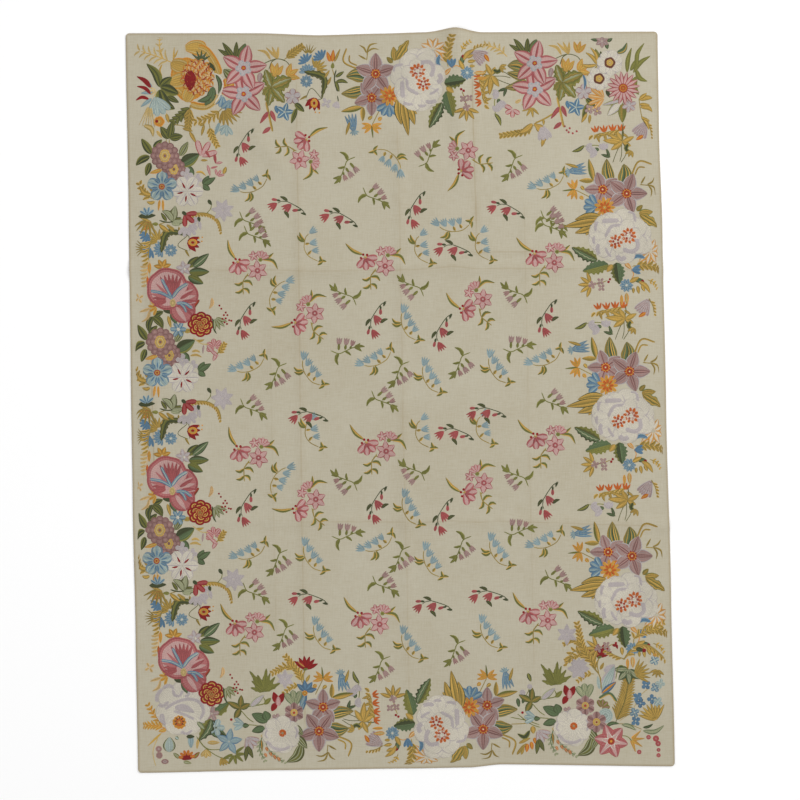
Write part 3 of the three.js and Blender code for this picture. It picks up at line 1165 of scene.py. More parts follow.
STAR_SPRAY: Parts = (
    *leaves(SPLIT_LEAF, (-9, 9, -26, 19, 5.4), (-9, 9, -21.5, 26, 6), (-8, 9, -7, 27, 5.4)),
    Leaf(-4, 9, 2, 25, 9, (FOREST, OLIVE, TEAL, TEAL)),
    *leaves(BUD, (17, -4, 15, -15, 6), (17, -13, 19, -22, 5.6)),
    Stem(((19, 4), (32, 9), (42, 7), (47, 1)), (DARK_OLIVE,)),
    Stem(((25, -2), (28, 6), (32, 8.6)), (DARK_OLIVE,)),
    *leaves(STRAWS, (27, 8, 13, 18, 3.2, -0.2), (34, 9, 22, 21, 3), (34, 9, 28, 22, 3.2),
        (34, 9, 34.5, 22, 3)),
    *petals(YELLOWS, (31, -9, 15, 3, 6.4, 78, 50), (43, -8, 14, 3, 6.4, 30, 80), outline=POINT),
    *lobed_leaf(28, -19, 20.5, 25), Petals(49, -28.7, 8.6, 5, 7, (MAUVE, LAVENDER)),
    Leaf(32, -37, 34, -46, 4.6, CORNFLOWER),
    Petals(41, -44, 10, 5, 6, (BLUE, BLUE, AQUA), 75, outline=POINT),
    Stem(((22.4, -34), (25.6, -48), (29, -64)), GOLDEN, 2.6),
    *leaves(BELL_PINK, (25, -43, 16, -56, 4.4), (25, -46, 19, -51, 3.4), (27, -42, 32, -54, 4.6),
        (27, -59, 18.5, -66, 4.6)),
    *split_leaves(SPLIT_LEAF, (51, -35, 61, -44, 6.5), (53, -40, 47.5, -56, 5.4)), *pink_star(0, -26, 27),
    *pink_star(0, 0, 79),
)
STAR_COMBS: Parts = (
    Leaf(-9, -11, -20.5, -1, 10.5, OLIVE_STRIPED, across=True),
    Petals(-17, -19, 9, 5, 6, (FLAME, ORANGE, GOLD), 100),
    *petals(BLUES, (-21, -28, 12, 4, 4.6, 240, 90), (-13, -32, 13, 4, 5, 262, 80)),
    Comb(((40, 8), (48, 14), (56, 20)), 10, 6, GOLDEN, 35, width=3),
    Comb(((-21, -40), (-32, -49), (-46, -53)), 10, 6, GOLDEN, 45, width=2.6),
    *strokes(GOLDEN, (-20, -40, 20, 7, 3.4, -60, 90, 2)),
    Petals(-17, -57, 12, 4, 4.4, (SKY, AQUA), 255, 90), Leaf(-24, -54, -29, -68, 5, (AQUA, SKY)),
)
STAR_EXTRAS: Parts = (
    *split_leaves(STRIPED, (-9, -6, -27.5, -2.6, 13, -0.1), (-8, -15, -27.6, -9, 9.4),
        (-8, -17, -30, -24.6, 10, 0.1)),
    Comb(((-27, 6), (-36, 14), (-48, 18)), 9, 5, STRAWS, 50, width=1.8),
    Petals(43, 10, 13, 3, 5, YELLOWS, 78, 60, outline=POINT),
    Petals(-22, -46, 9, 4, 5, (CORAL, PALE_PINK), 240, 170), Leaf(-20, -40, -13, -36, 4, FADED),
    *strokes(GOLDEN, (-3, -44, 11, 5, 3, 240, 150)),
    Comb(((0, -61), (-10, -68), (-31, -72)), 9, 8, GOLDEN, 34, width=3),
    Stem(((21, -49), (9, -56), (0, -60)), GOLDEN, 2), Leaf(-1, -60, 7, -84, 9, GOLDEN, 0.26, teeth=3),
    Leaf(-2, -60, -16, -70, 7, GOLDEN, 0.1), Petals(7, -61, 17, 4, 5, PALE_LILAC, 284, 44, 2),
    Leaf(9, -56, 9, -62, 3, GOLDEN),
    Knots(((30, -63), (32, -67), (35, -65), (34, -69), (38, -70), (42, -68)), 1.3, CORAL),
)
CORNFLOWER_SPRAY: Parts = (
    Petals(2, 26, 12, 6, 2, GOLDEN, 90, 90, 2, outline=HORN),
    *strokes(GOLDEN, (9, 12, 13, 7, 3, 40, 130, 1)),
    *petals(CORNFLOWER, (0.5, 19, 9.5, 6, 2.8, 125, 130), (16, 22, 10.5, 6, 2.8, 128, 110)),
    Petals(1, 9, 9, 8, 3, BLUES, 90, 180),
    Leaf(-2.4, 9.6, 15.4, -17.5, 8.6, (DARK_OLIVE, OLIVE, FOREST, DARK_OLIVE), 0.4, across=True, teeth=8),
    Stem(((15, -17), (5, -7), (-1, -18)), (DARK_OLIVE,), 0.9),
    Stem(((17, -13), (14, -18), (-1, -19)), (DARK_OLIVE,), 0.9), *daisy(0, 0, 7),
    Petals(8.6, -16.5, 13.6, 4, 6, (CRIMSON,), 256, 70, outline=POINT),
    Disc(7.8, -22, 3.8, (ORANGE, GOLD, CRIMSON), oval=1.3),
    Knots(((12, -28), (9, -31), (13, -31.5)), 0.9, ORANGE),
    *petals(PALE_LILAC, (20, -21.8, 6, 4, 4, 30), (31, -20, 8, 3, 3.6, 255, 50)),
    Stem(((31, -14), (32, -20)), (FOREST,), 1.4),
    *leaves(AMBER, (24, 19, 20.5, 30, 4.4), (26, 19, 27, 32, 4.6)),
    Leaf(28, 19, 34, 33, 3, GOLDEN), Leaf(26, 12, 26.5, 19, 4, (MOSS,)), Stem(((26, 12), (28, 5)), (BRASS,)),
    Stem(((30, 12), (28, 2), (31, -11)), (FOREST,), 1.6),
    *leaves(GREEN, (29, 4, 38, 10, 4), (29, -1, 42, -2, 4.4, 0.15), (29, 0, 33, -11, 4.2)),
    *leaves(GOLDEN, (18, 3, 23.5, 11.5, 3), (21, -4, 25, 5, 3), (1, -14, -7, -19, 2.4)),
)
GLORY: Parts = (
    Leaf(-34.5, 78, -16.5, 79, 6, (FOREST,)), Petals(-25.5, 79, 9, 4, 3.4, (SKY, BLUE), 95, 110),
    *strokes(GOLDEN, (-24, 76, 19, 6, 2.6, 250, 85, 3)),
    *leaves((DARK_OLIVE, SAGE), (0, 73, 2.6, 89, 8), (0, 73, -11, 84, 7, -0.15), (0, 73, 12, 75, 6.4, -0.12)),
    Leaf(-2, 71, 8, 69, 4, (SAGE,)),
    *leaves(GOLDEN, (-14, 70, -3, 62, 4.4), (-6, 70, 2, 62, 3.4), (6, 68, 7, 60, 2.6)),
    Comb(((14, 80), (33, 80.5), (44.6, 74), (48.6, 63)), 6, 14, GOLDEN, 48, (-1,), 2.2),
    Stem(((14, 80), (33, 80.5), (44.6, 74), (48.6, 63)), GOLDEN, 2.2),
    Petals(12, 80, 13, 3, 5.4, (CRIMSON, CORAL), -42, 95), Leaf(9, 83, 14, 79, 4, (FOREST,)),
    Petals(13, 70, 13, 5, 4.6, PALE_LILAC, 290, 110, 3), Leaf(26, 74, 28, 64, 4, PALE_LILAC),
    Leaf(25.5, 78, 27, 72, 3.6, (FOREST,)), Petals(50, 84, 12, 7, 6.4, PALE_LILAC, 20, outline=POINT),
    Stem(((34, 81), (38, 86), (38.5, 92)), (OLIVE,), 0.9), Leaf(35, 95, 39, 89, 4, (FOREST,)),
    Comb(((-20, 57), (-24, 44), (-24, 33)), 12, 6, GOLDEN, 62, (-1,), 2.6),
    Comb(((-23, 33), (-25, 22), (-26, 10)), 10, 6, FADED, 70, (-1,), 2.4),
    Leaf(-23, 32, -23, 20, 3.6, YELLOWS), Leaf(-25, 18, -25, 8, 2.6, (FLAME, GOLD)),
    Petals(-34, -4, 6, 4, 3, FADED, 30), Petals(-16, -13, 9, 4, 3.4, (GOLD, ORANGE), 190, 120),
    *leaves(FADED, (-22, -14, -34, -18, 3.4), (-23, -16, -32, -28, 3.4, 0.2)),
    Leaf(-10, -15, 1, -19, 5, (FOREST,)), Leaf(-2, -18, 4, -30, 6, TEAL_LEAF),
    Leaf(15, 27, 26, 38, 8.6, SPLIT_LEAF, across=True),
    Leaf(20, 27, 36.5, 41, 8.6, (FOREST, TEAL, SAGE, TEAL, FOREST), across=True),
    Leaf(16, 22, 37, 22.5, 9.4, (FOREST, TEAL, OLIVE, OLIVE, FOREST), across=True),
    Leaf(15, 18, 31, 10.5, 9, (OLIVE, OLIVE, TEAL, FOREST), across=True),
    Petals(11, 26, 8.4, 5, 5.4, (LILAC, LAVENDER), 100, outline=POINT),
    Knots(((12, 25),), 1.3, CREAM),
    Petals(-10, 27, 9.4, 4, 5.4, (BRASS, ORANGE, GOLD), 95, 150, outline=POINT),
    Leaf(27, -5, 21, -22, 5, (BROWN, RUST), -0.2), Disc(10.6, -1, 15.4, (ROSE,) + (PINK,) * 7, 5, 0.04),
    Disc(10, -16, 13, (ROSE,) + (PINK,) * 6, 4, 0.04),
    Disc(-5, 5.4, 21.4, (ROSE, PINK) + (PALE_PINK,) * 9, 7, 0.04),
    *strokes((ROSE,), (-1, -6, 27, 6, 4, 92, 48, 8), (-1, -6, 21, 5, 4, 93, 36, 4),
        (-1, -5, 20, 4, 4, 182, 36, 5)),
    *strokes((PINK,), (-1, -5, 23, 2, 3, 150, 30, 6)), *strokes((PALE_PINK,), (2, -6, 22, 4, 4.6, 22, 56, 4)),
    *strokes((ROSE,), (2, -8, 23, 3, 4, 4, 56, 6)),
    Leaf(3, -12, 14, -28, 5, (PALE_PINK,)), Leaf(6, -8, 21, -22, 4.4, (ROSE,)),
    Stem(((0, -7), (-3, 0), (-11.5, 16)), (BLUE, AQUA, BLUE), 3),
    Stem(((-1, -4), (-11.5, 1.5), (-23, 3.5)), (BLUE, AQUA, BLUE), 3),
    Stem(((0, -3), (6, 5), (15, 11)), (BLUE, AQUA, AQUA, BLUE), 3.6),
    Stem(((3, -9), (12, -9), (20, -14.5)), (BLUE, AQUA, BLUE), 3.2),
    Stem(((7, -9), (11, -12), (14, -18)), (BLUE, AQUA, BLUE), 3), Disc(0, -8.7, 3.2, (STRAW,), oval=1.4),
    *rosette(28, -30, 13), *strokes((OLIVE, SAGE), (42, -23, 14, 4, 4, -55, 70, 1)),
    Stem(((40, -24), (41, -34), (44, -40)), (FOREST,), 1.6),
    Knots(((46.6, -11.2), (48.5, -14.4), (52.9, -18.2), (51, -20.8), (54.6, -20.8), (49.7, -24.6),
        (52.9, -24), (56.4, -25.9), (51.7, -27.8), (54.2, -29.6), (58.6, -26.4)), 1.2, CRIMSON),
    Leaf(39, -3, 36, -15, 4, (PEACH,), 0.15),
)
GLORY_NEIGHBOURS: Parts = (
    *leaves(SPLIT_LEAF, (-19, -21, -9, -17, 6.4), (-20, -22, -9.5, -34, 8.4, 0.1),
        (-20, -22, -23, -38.5, 6.8, -0.15)),
    Leaf(-5, -21, -1.5, -34, 4, GOLDEN), Leaf(11, -37, 20, -36, 5, (BRASS, GOLD, OLIVE)),
    Petals(5.5, -35, 8.6, 6, 4.6, BLUES, 60), Disc(5.5, -35, 1.8, (CREAM,)),
    Petals(42, -53, 9.6, 5, 5.4, (ROSE, PALE_PINK, PINK), 100, 200),
    *leaves(BLOSSOM, (34, -50, 42, -60, 4.4), (44, -59, 40, -67, 4.6)),
    Leaf(31, -50, 30, -60, 2.6, (LILAC,)), Leaf(38, -56, 46, -62, 4, BLOSSOM),
    Comb(((43, -60), (47, -57), (51, -51)), 7, 4, GOLDEN, 40, width=2.4),
    *leaves(STRAWS, (18.5, -57.8, 28, -58.4, 2.8, 0.2), (17, -61.6, 29.5, -63, 2.8, 0.15)),
    Leaf(23, -46.3, 32, -45, 3, GOLDEN, -0.1), Stem(((20, -43), (28, -49), (36, -50)), (STRAW,)),
)
BLUE_STAR_SPRAY: Parts = (
    *split_leaves(SPLIT_LEAF, (-25.5, -46, -36, -30, 8.4), (-24, -40, -15, -31, 6.4),
        (-27, -48, -42, -57.5, 8, -0.1), (-27, -54, -31.5, -68, 7)),
    *split_leaves(OLIVE_STRIPED, (2.5, -48, 11, -33, 7.6), (4, -51, 15, -45.5, 4.6)),
    Leaf(3, -57, 22.5, -45.5, 13, (FOREST, FOREST, TEAL, TEAL, MOSS), across=True),
    Leaf(11, -58, 17, -67, 6, TEAL_LEAF), *pompon(-3.4, -61, 11.6), *pompon(-12.4, -47.6, 13.8),
    *leaves(YELLOWS, (-15, -61.5, -28, -65, 4.4), (-17.5, -91, -19, -103, 2.8), (-14.5, -91, -14, -104, 2.8)),
    Comb(((-22, -91), (-31, -87), (-37, -77)), 9, 4, GOLDEN, 45, width=2.8),
    *leaves(GOLDEN, (-24, -87, -38, -77, 5, 0.2), (-25, -84, -29, -75, 3), (-22, -93, -31, -93, 4, 0.2)),
    *petals(PALE_LILAC, (9.5, -66, 7, 4, 5, 80), (20, -71, 6, 4, 5, 80)),
    Petals(10, -83, 16.6, 6, 12, (LAVENDER, CREAM, CREAM, CREAM, CREAM, LAVENDER), 60),
    *strokes((CRIMSON,), (9.6, -83.4, 11, 5, 2, 46, 360, 3.4)),
    *leaves(TEAL_LEAF, (25.5, -77, 32, -67, 6.4), (25.5, -77, 38.6, -69, 6.4), (25.5, -77, 33, -82, 6.4)),
    Petals(-15.2, -78.4, 15.6, 5, 12, (BLUE, SKY, AQUA, AQUA, SKY), 90, 360, 1),
    *strokes((BLUE,), (-15.2, -78.4, 11.6, 15, 1.8, 90, 360, 4)),
    Disc(-15.5, -78.3, 3.2, (RUST, GOLD, RUST)),
)
CORNER_BLOOM: Parts = (
    Comb(((-24, 13), (-38, 19), (-57, 25)), 13, 6, STRAWS, 55, width=1.8),
    Comb(((-34, 17), (-38, 30), (-37, 42)), 7, 4, STRAWS, 45, width=1.6),
    *leaves(STRAWS, (-24, 13, -23, 30, 2), (-23, 18, -19, 27, 1.8), (-35, 12, -35, 0, 2, -0.2)),
    Comb(((-4, -28), (-12, -36), (-22, -44)), 11, 5, GREEN, 40, width=3.4),
    Comb(((-7, -29), (-8, -38), (-9, -48)), 11, 5, GOLDEN, 32, width=3.4),
    Stem(((-24, -48), (-10, -52), (0, -70), (2, -76)), (BRASS,)),
    *leaves(GOLDEN, (-15, -52, -4, -55, 3.4), (-8, -55, -1, -67, 4), (2, -50, 8, -46, 3),
        (7, -48, 4, -60, 3.4)),
    Comb(((12, -48), (14, -58), (19, -68)), 8, 6, GOLDEN, 38, width=2.8),
    Disc(-9, -3, 18.6, BLOOM_GOLD + (GOLD,) * 6, 7, 0.07, 1.2),
    *leaves(BLOOM_GOLD, (-2, -4, -12, -26, 15), (-2, 5, -27, 13, 17), (-2, 0, -28.5, -7, 17),
        outline=PETAL),
    Stem(((-7, -27.4), (1, -30), (9, -30), (16, -25), (20, -18)), BLOOM_GOLD, 7.4),
    Leaf(-12.5, 28, 9, 26, 17, BLOOM_GOLD, 0.1, outline=PETAL),
    Stem(((0, 29), (8, 26), (14, 19), (19, 10), (22, 1)), BLOOM_GOLD, 8.6),
    Stem(((15, 3.4), (22.3, 0), (25.6, -8), (22.4, -19), (17, -28)), (CREAM,), 1.8),
    Petals(3.5, 15, 12, 5, 3.6, (FOREST, TEAL), 85, 110, outline=HORN),
    Leaf(10, 14, 18.5, 5, 5.4, (FOREST,)),
    *leaves((FOREST, TEAL), (18.5, 2, 21, -18, 4.4, 0.15), (16, -10, 7, -30, 9, 0.1)),
    Leaf(14, -19, 0, -25, 6, TEAL_LEAF, 0.1), *pollen(0, -1, 16.4),
    *leaves((CRIMSON,), (-7, 6, -7, -15, 12), (-12, -1, -4, -12, 8)),
    *split_leaves(SPLIT_LEAF, (-37, -11.5, -51, 13, 9, -0.12), (-37, -10, -25, -0.5, 9),
        (-37, -11, -18, -18, 12), (-38, -13, -22, -33, 13, -0.2)),
    Leaf(-30, -20, -18, -26.5, 6, SPLIT_LEAF),
    *leaves((SKY,), (-45, -11.5, -54, -3.5, 5), (-44, -16, -57, -17, 4), (-45, -22, -57, -31, 4.4)),
    *leaves((CRIMSON,), (-46, -12, -61, 0, 5, -0.1), (-46, -18.5, -61, -10, 4, -0.15),
        (-48, -23, -62, -24.5, 3.8, -0.2)),
    Petals(-40, -14, 8, 4, 1.6, (STRAW,), 200, 80, 1), Petals(-42, -21, 20, 4, 7, (SKY, AQUA), -72, 66),
    Disc(-38, -45.3, 5.6, YELLOWS, 5, 0.1), Knots(((-40.5, -45),), 1.8, CRIMSON),
    Leaf(-31, -37, -28.5, -47, 4, GOLDEN),
    Petals(-47, -26, 27, 6, 2, (STRAW,), 262, 36, 5, outline=HORN),
    Leaf(-54, -49, -44, -61, 5.4, (BRASS, STRAW), 0.25), Leaf(-41, -54, -35, -62, 3.4, STRAWS),
    *leaves(SPLIT_LEAF, (-28, -63, -37, -50, 8.4), (-28, -62, -25, -45, 8.4), (-28, -62, -14, -59.5, 8.4)),
    Stem(((-31, -63), (-31, -68)), (BRASS,)), Stem(((-28, -63), (-28, -68)), (BRASS,)),
    Petals(4, -80, 17, 3, 6.4, (CORAL, PALE_PINK), 60, 90),
    *leaves(BELL_PINK, (8, -74, 13, -82, 3), (17, -77, 18.5, -88, 3.4)),
    *leaves(BLOSSOM, (18, -87, 26, -86, 3), (10, -88, 13, -100, 3.2), (13, -92, 21, -90, 2.6)),
    Petals(20, -100, 8, 3, 3, BLOSSOM, 60, 90),
    *leaves(GOLDEN, (26, -98, 29, -90, 4.4), (3, -84, 11, -84, 2.8)),
    Leaf(-2, -96, 9, -100, 2.6, STRAWS, 0.2),
)
CORNER_DAISIES: Parts = (
    *leaves(TEAL_LEAF, (-24, 48, -33, 49.5, 4.6), (-16, 46, -10.5, 51.5, 4.6), (-17, 46, -15.5, 38.5, 4.6)),
    Petals(-21, 47, 7.6, 6, 5, BUD, 30, outline=POINT),
    Leaf(-7, 35, 4, 46, 5.4, (TEAL, TEAL, GOLD, TEAL), -0.2, across=True),
    *leaves(MOSSY, (4, 15, 8.6, 41, 5, 0.06), (7, 17, 16, 32, 5), (10, 15, 28, 32.6, 5, 0.1),
        (14, 20, 21.4, 45.6, 4.6, 0.14), (13, 19, 24.6, 6.5, 5.4, -0.2), (13, 12, 16, -7, 7, -0.2)),
    Leaf(-17, -1, -13, -10, 4.4, (FOREST,)), Leaf(-27, 26, -22.5, 37.5, 5, (OLIVE, FOREST), -0.2),
    Leaf(-26, 25, -28, 40, 4.4, MOSSY, -0.1),
    *leaves(GOLDEN, (-26, 24, -33, 41, 4, -0.14), (-26, 23.6, -38, 36, 4, -0.1),
        (-26, 23.4, -43, 24, 4, 0.1)),
    Leaf(-26, 23, -37, 12, 3.4, TWO_TONE, 0.2), Leaf(-40, 14, -39, -2, 3, CORNFLOWER, 0.1),
    Petals(-19, -10, 17, 5, 4.6, (ORANGE, PEACH), 172, 115),
    Leaf(-1, -13, -16, -28, 9.4, (MOSS, LAVENDER, CREAM)), Leaf(-1, -12, -21, -17, 5, (MOSS, LAVENDER)),
    Leaf(-0.7, -15, -0.7, -35, 8.6, (OLIVE, OLIVE, BRASS, MOSS), across=True),
    Stem(((0, -35), (-1.3, -53)), (DARK_OLIVE,)), Petals(6, -17, 8, 6, 5, (MAUVE, LAVENDER), 20),
    *petals(BUD, (-34, -21, 5.6, 4, 4, 30), (-26, -23, 5.6, 4, 4, 60)),
    Knots(((-34, -21), (-26, -23), (-30, -20)), 1.2, STRAW),
    *leaves(GOLDEN, (-36, -25, -42, -35, 4), (-33, -26, -34, -36, 3.6)),
    Stem(((15.7, -10), (17, -20), (19, -31)), (BRASS,)),
    *leaves(GOLDEN, (16, -12, 31, -10, 5.6, 0.1), (16, -11, 24, -4.6, 4), (17, -19, 31, -24, 5.2, 0.15),
        (16, -16, 27, -17, 4), (18, -28, 26, -42, 4.4, 0.1), (19, -30, 27, -33, 3.6)),
    *white_daisy(-24.1, 9.4, 12.6), *white_daisy(-13.4, 25.4, 13.6),
    *strokes((ROSE, PALE_PINK, PINK), (0, 0, 17.4, 16, 4.8, 8, 360, 3)),
    Disc(0, 0, 4.8, (RUST, ORANGE, RUST, ORANGE)),
)
CORNER_ROSE: Parts = (
    Comb(((-17, -19), (-26, -16), (-38, -16)), 9, 6, YELLOWS, 45, width=2.2),
    Comb(((-20, -15), (-28, -6), (-34, 3)), 8, 5, YELLOWS, 45, width=2.2),
    Leaf(-21, -23, -36, -37, 2.6, STRAWS), Leaf(-16, -20, -25, -22, 4, YELLOWS),
    Stem(((-25, -28), (-30, -42), (-27, -58)), (STRAW,)),
    Leaf(-14, -43, -13.4, -27, 13, (FOREST, SAGE, AQUA)), Leaf(-8, -27, -4, -30, 4, (TEAL, AQUA)),
    Leaf(8, -25, 8, -39, 7, (AQUA, SKY)), Leaf(3, -27, 12, -27, 4.4, (FOREST,)),
    Disc(-24.2, -39.4, 3.4, BUD), Disc(-23.6, -45.8, 3.6, (MAUVE,)),
    Disc(-18, -52, 4, BUD, oval=0.7),
    Stem(((13, -26), (22, -38), (38, -48), (53, -48), (67, -39)), (OLIVE,)),
    Stem(((14, -28), (24, -39), (40, -40)), (OLIVE,)), Leaf(-3, -49, -10, -43, 4.4, (MOSS, SAGE)),
    Leaf(10, -49, 17, -42, 4.4, (RUST, MOSS)), Leaf(0, -52, 9, -54, 4, (MOSS, SAGE)),
    Petals(4, -49, 9.5, 6, 3.2, AMBER, 95, 150), Petals(4, -50, 6, 5, 2.6, (CRIMSON, RUST), 95, 150),
    *leaves(STRAWS, (24, -33, 37, -33, 4.4), (15, -29, 14, -40, 3)),
    Petals(23, -40, 9, 3, 4, STRAWS, 270, 70), *strokes(GOLDEN, (38, -47, 13, 4, 3, -68, 50, 1)),
    *strokes(MOSSY, (51, -44, 13, 6, 3.4, -60, 190, 1)),
    Leaf(32, -5, 46, 7, 12, (TEAL, TEAL, OLIVE, MOSS), across=True, teeth=3),
    Leaf(31, -9, 44, -27, 13, TEAL_LEAF, -0.25), Petals(29, -4, 8, 5, 5, BUD, 80),
    Petals(33, -18, 9.4, 5, 6, (SKY, AQUA), 70),
    Petals(46, -32, 14, 5, 7.6, BLUES, 82, outline=POINT),
    Petals(0, 1, 28, 7, 22, WHITE_PETAL, 40, 360, 3), Disc(1, 0, 17, (CREAM,), 7, 0.08),
    *shades((3.8, (-26, 7), (-26, 14), (-20.6, 21)), (3, (-20.6, 21.4), (-14, 24.6), (-9, 21)),
        (3.4, (-25, 4), (-19, 4), (-14, 8)), (3, (-10, 20), (-8, 14.5), (-3, 14), (0, 20)),
        (3, (1, 14), (5, 14), (6, 19)), (3.6, (-18, 0), (-8, 7), (6, 10.6), (17, 7), (20.6, -2), (17, -10))),
    Leaf(-9, 2, 12, -3, 8, PALE_LILAC, 0.1), *shades((3, (-10, -1), (2, -5), (12, -10))),
    Leaf(-21, -3, -18, -16, 6, PALE_LILAC, -0.1), *shades((3, (10, -20), (4, -24), (-3, -22))),
    Disc(-3.6, -12.6, 7.2, (ORANGE, FLAME, ORANGE), 11, 0.13),
    *strokes((BROWN,), (-3.5, -12, 6, 7, 1.8, 90, 250, 2)),
    Leaf(28, -9, 16, -31, 14, SERRATED, 0.06, across=True, teeth=5), Leaf(14, -12, 22, -20, 5, SEA),
)
WHITE_SPRAY: Parts = (
    Stem(((-19, 36), (-18, 29), (-34, 26), (-44, 22)), (OLIVE,), 1.4),
    Leaf(-18, 28, -11, 35, 5, MOSSY), Stem(((-42, 23), (-34, 14), (-28, 10)), (OLIVE,)),
    Stem(((-48, 8), (-36, 8), (-24, 7)), (OLIVE,)),
    *(Leaf(-18, 41, x, y, width, (OLIVE, MOSS, OLIVE), teeth=3) for x, y, width in (
        (-33, 62, 6), (-25, 58, 6.4), (-16, 64.5, 6.4), (-7, 56, 6), (-1.6, 50, 6), (-32, 45, 5.4),
        (-31, 52, 5.4), (-12, 60, 5))),
    Leaf(-32, 26, -18, 38, 7, (SAGE, LAVENDER)),
    *leaves((DARK_OLIVE, OLIVE, BRASS), (-42, 24, -41, 38, 6.6), (-42, 24, -55, 31, 6.6),
        (-42, 24, -32, 29, 6.6), (-42, 24, -48, 13, 7)),
    Petals(-38, 8, 12, 3, 4.6, (SKY, AQUA), 176, 60), Leaf(-40, 7, -33, 7, 5.4, TEAL_LEAF),
    Knots(((-51, 13),), 1.6, CRIMSON),
    *leaves((FOREST, TEAL), (-14, 11, -31, 19, 10.5), (-14, 12, -18, 22, 9.4), (-17, 5, -31, 1, 8)),
    Petals(-36, -5, 14, 4, 5, (MAUVE, LAVENDER), -48, 75),
    *leaves(GREEN, (-35, -13, -37, -29, 5), (-35, -13, -29, -26, 5)),
    Leaf(-22, -3, -16, -4, 4, STRAWS),
    Comb(((-20, -4), (-23, -16), (-18, -27)), 6, 6, SEA, 40, width=2),
    Comb(((-17, -10), (-9, -22), (2, -30)), 6, 7, SEA, 40, width=2),
    Leaf(-21, -7, -20, -19, 3, (TEAL, ORANGE)),
    *(Leaf(x, y, x + 3, y - 5, 2.8, (FLAME, PEACH)) for x, y in (
        (-17, -14), (-13, -19), (-9, -22), (-5, -24), (-18, -20))),
    *split_leaves(OLIVE_STRIPED, (19, -11, 4, -30, 11, 0.2), (14, -3, 25, -16, 9), (11, 8, 21, -3, 8)),
    *leaves((CRIMSON,), (-5, 29, -9, 41, 7), (-4, 29, 1.4, 40, 7), (-6, 30, -11, 21, 6.4)),
    Leaf(-4, 26, -4, 37, 6, (PINK, PALE_PINK)), Petals(-6, 15, 5, 4, 4, BUD, 60),
    Petals(13, 27, 16, 3, 7.4, (TEAL, SAGE, SAGE), 100, 60), *mallow(11.7, 20, 10.5),
    Petals(-1, -2, 19.5, 7, 16, WHITE_PETAL, 30, 360, 2), Disc(-1, -1, 9, (CREAM,), 7, 0.1),
    *shades((3.4, (-16, -8), (-9, -15), (0, -17), (8, -14)), (2.4, (-15, 3), (-17, -2), (-14, -6)),
        (2.2, (12, 7), (15, 1), (13, -6))),
    Disc(0.2, -0.4, 4, (FLAME, FLAME, SAGE)),
)
TULIP_SPRAY: Parts = (
    Comb(((-2, -22), (-7, -10), (-18, 4)), 9, 8, GOLDEN, 38, width=2.6),
    Comb(((-9, -9), (-18, -4), (-31, -10)), 8, 7, GOLDEN, 45, width=2.4),
    Comb(((-4, -24), (-12, -24), (-20, -30)), 6, 5, GOLDEN, 45, width=2.2),
    Petals(-20, -17, 9.6, 6, 6, PALE_LILAC, 30, outline=POINT),
    Stem(((0.6, -6), (-1.9, -14), (0, -24)), (BRASS,), 1.4), Leaf(1, -20, 5, -12, 3.6, GOLDEN),
    *strokes((CRIMSON, CRIMSON, CORAL), (0.5, -7, 14, 6, 4.6, 84, 120)),
    Leaf(0, -5, -8, 1, 3, (RUST, GOLD)), Leaf(-2, -8, 3, -6, 3, (OLIVE,)),
)
TWIG: Parts = (
    Stem(((-20, 11), (-3, 7.5), (10, 3)), (OLIVE,)), Stem(((-19.5, 4), (-6, 4.6), (2.6, 6.8)), (BRASS,)),
    Stem(((-13, 14.6), (0, 4.6), (11, 0.4)), (OLIVE,)), Stem(((-6, 30), (-2, 36), (0, 42)), (OLIVE,), 0.9),
    Leaf(-2.4, 55.4, 1.2, 46, 4.6, (FOREST, MOSS)),
    *leaves(TEAL_LEAF, (0.5, 39, -0.2, 33.4, 3), (-12.4, 30.4, -10.9, 20.4, 4.4), (-5.9, 30, -7.6, 24, 3.8)),
    Disc(-0.2, 41.6, 2.8, PALE_LILAC), Disc(-7.4, 35.6, 3.2, PALE_LILAC), Leaf(2.6, 2.4, 3.6, -6, 6, GOLDEN),
    Leaf(0, -2, -13, -5.4, 5.4, (MOSS, FOREST), 0.4),
    *leaves(GOLDEN, (-11.6, -15.4, 1, -9.6, 3.6), (-10.4, -22, -3, -15, 3.6), (-13.4, -27, -7, -18, 3.4),
        (-9, -27, -5.6, -19, 3)),
    *leaves(AMBER, (4, -9, 6.6, -16.6, 4.4), (1, -13, 2.6, -22, 4.4), (-2.4, -15, -3.4, -24.6, 4.4)),
)
BLUE_BLOOM: Parts = (
    Leaf(-1, 2, -4, -20, 7, (NAVY, BLUE, SKY)),
    Petals(0, 1, 11.6, 4, 6, (NAVY, BLUE), 76, 130, outline=POINT),
    Leaf(-1, -3, -6, -16, 5, BLUES), Disc(-1, -1, 3, YELLOWS),
)
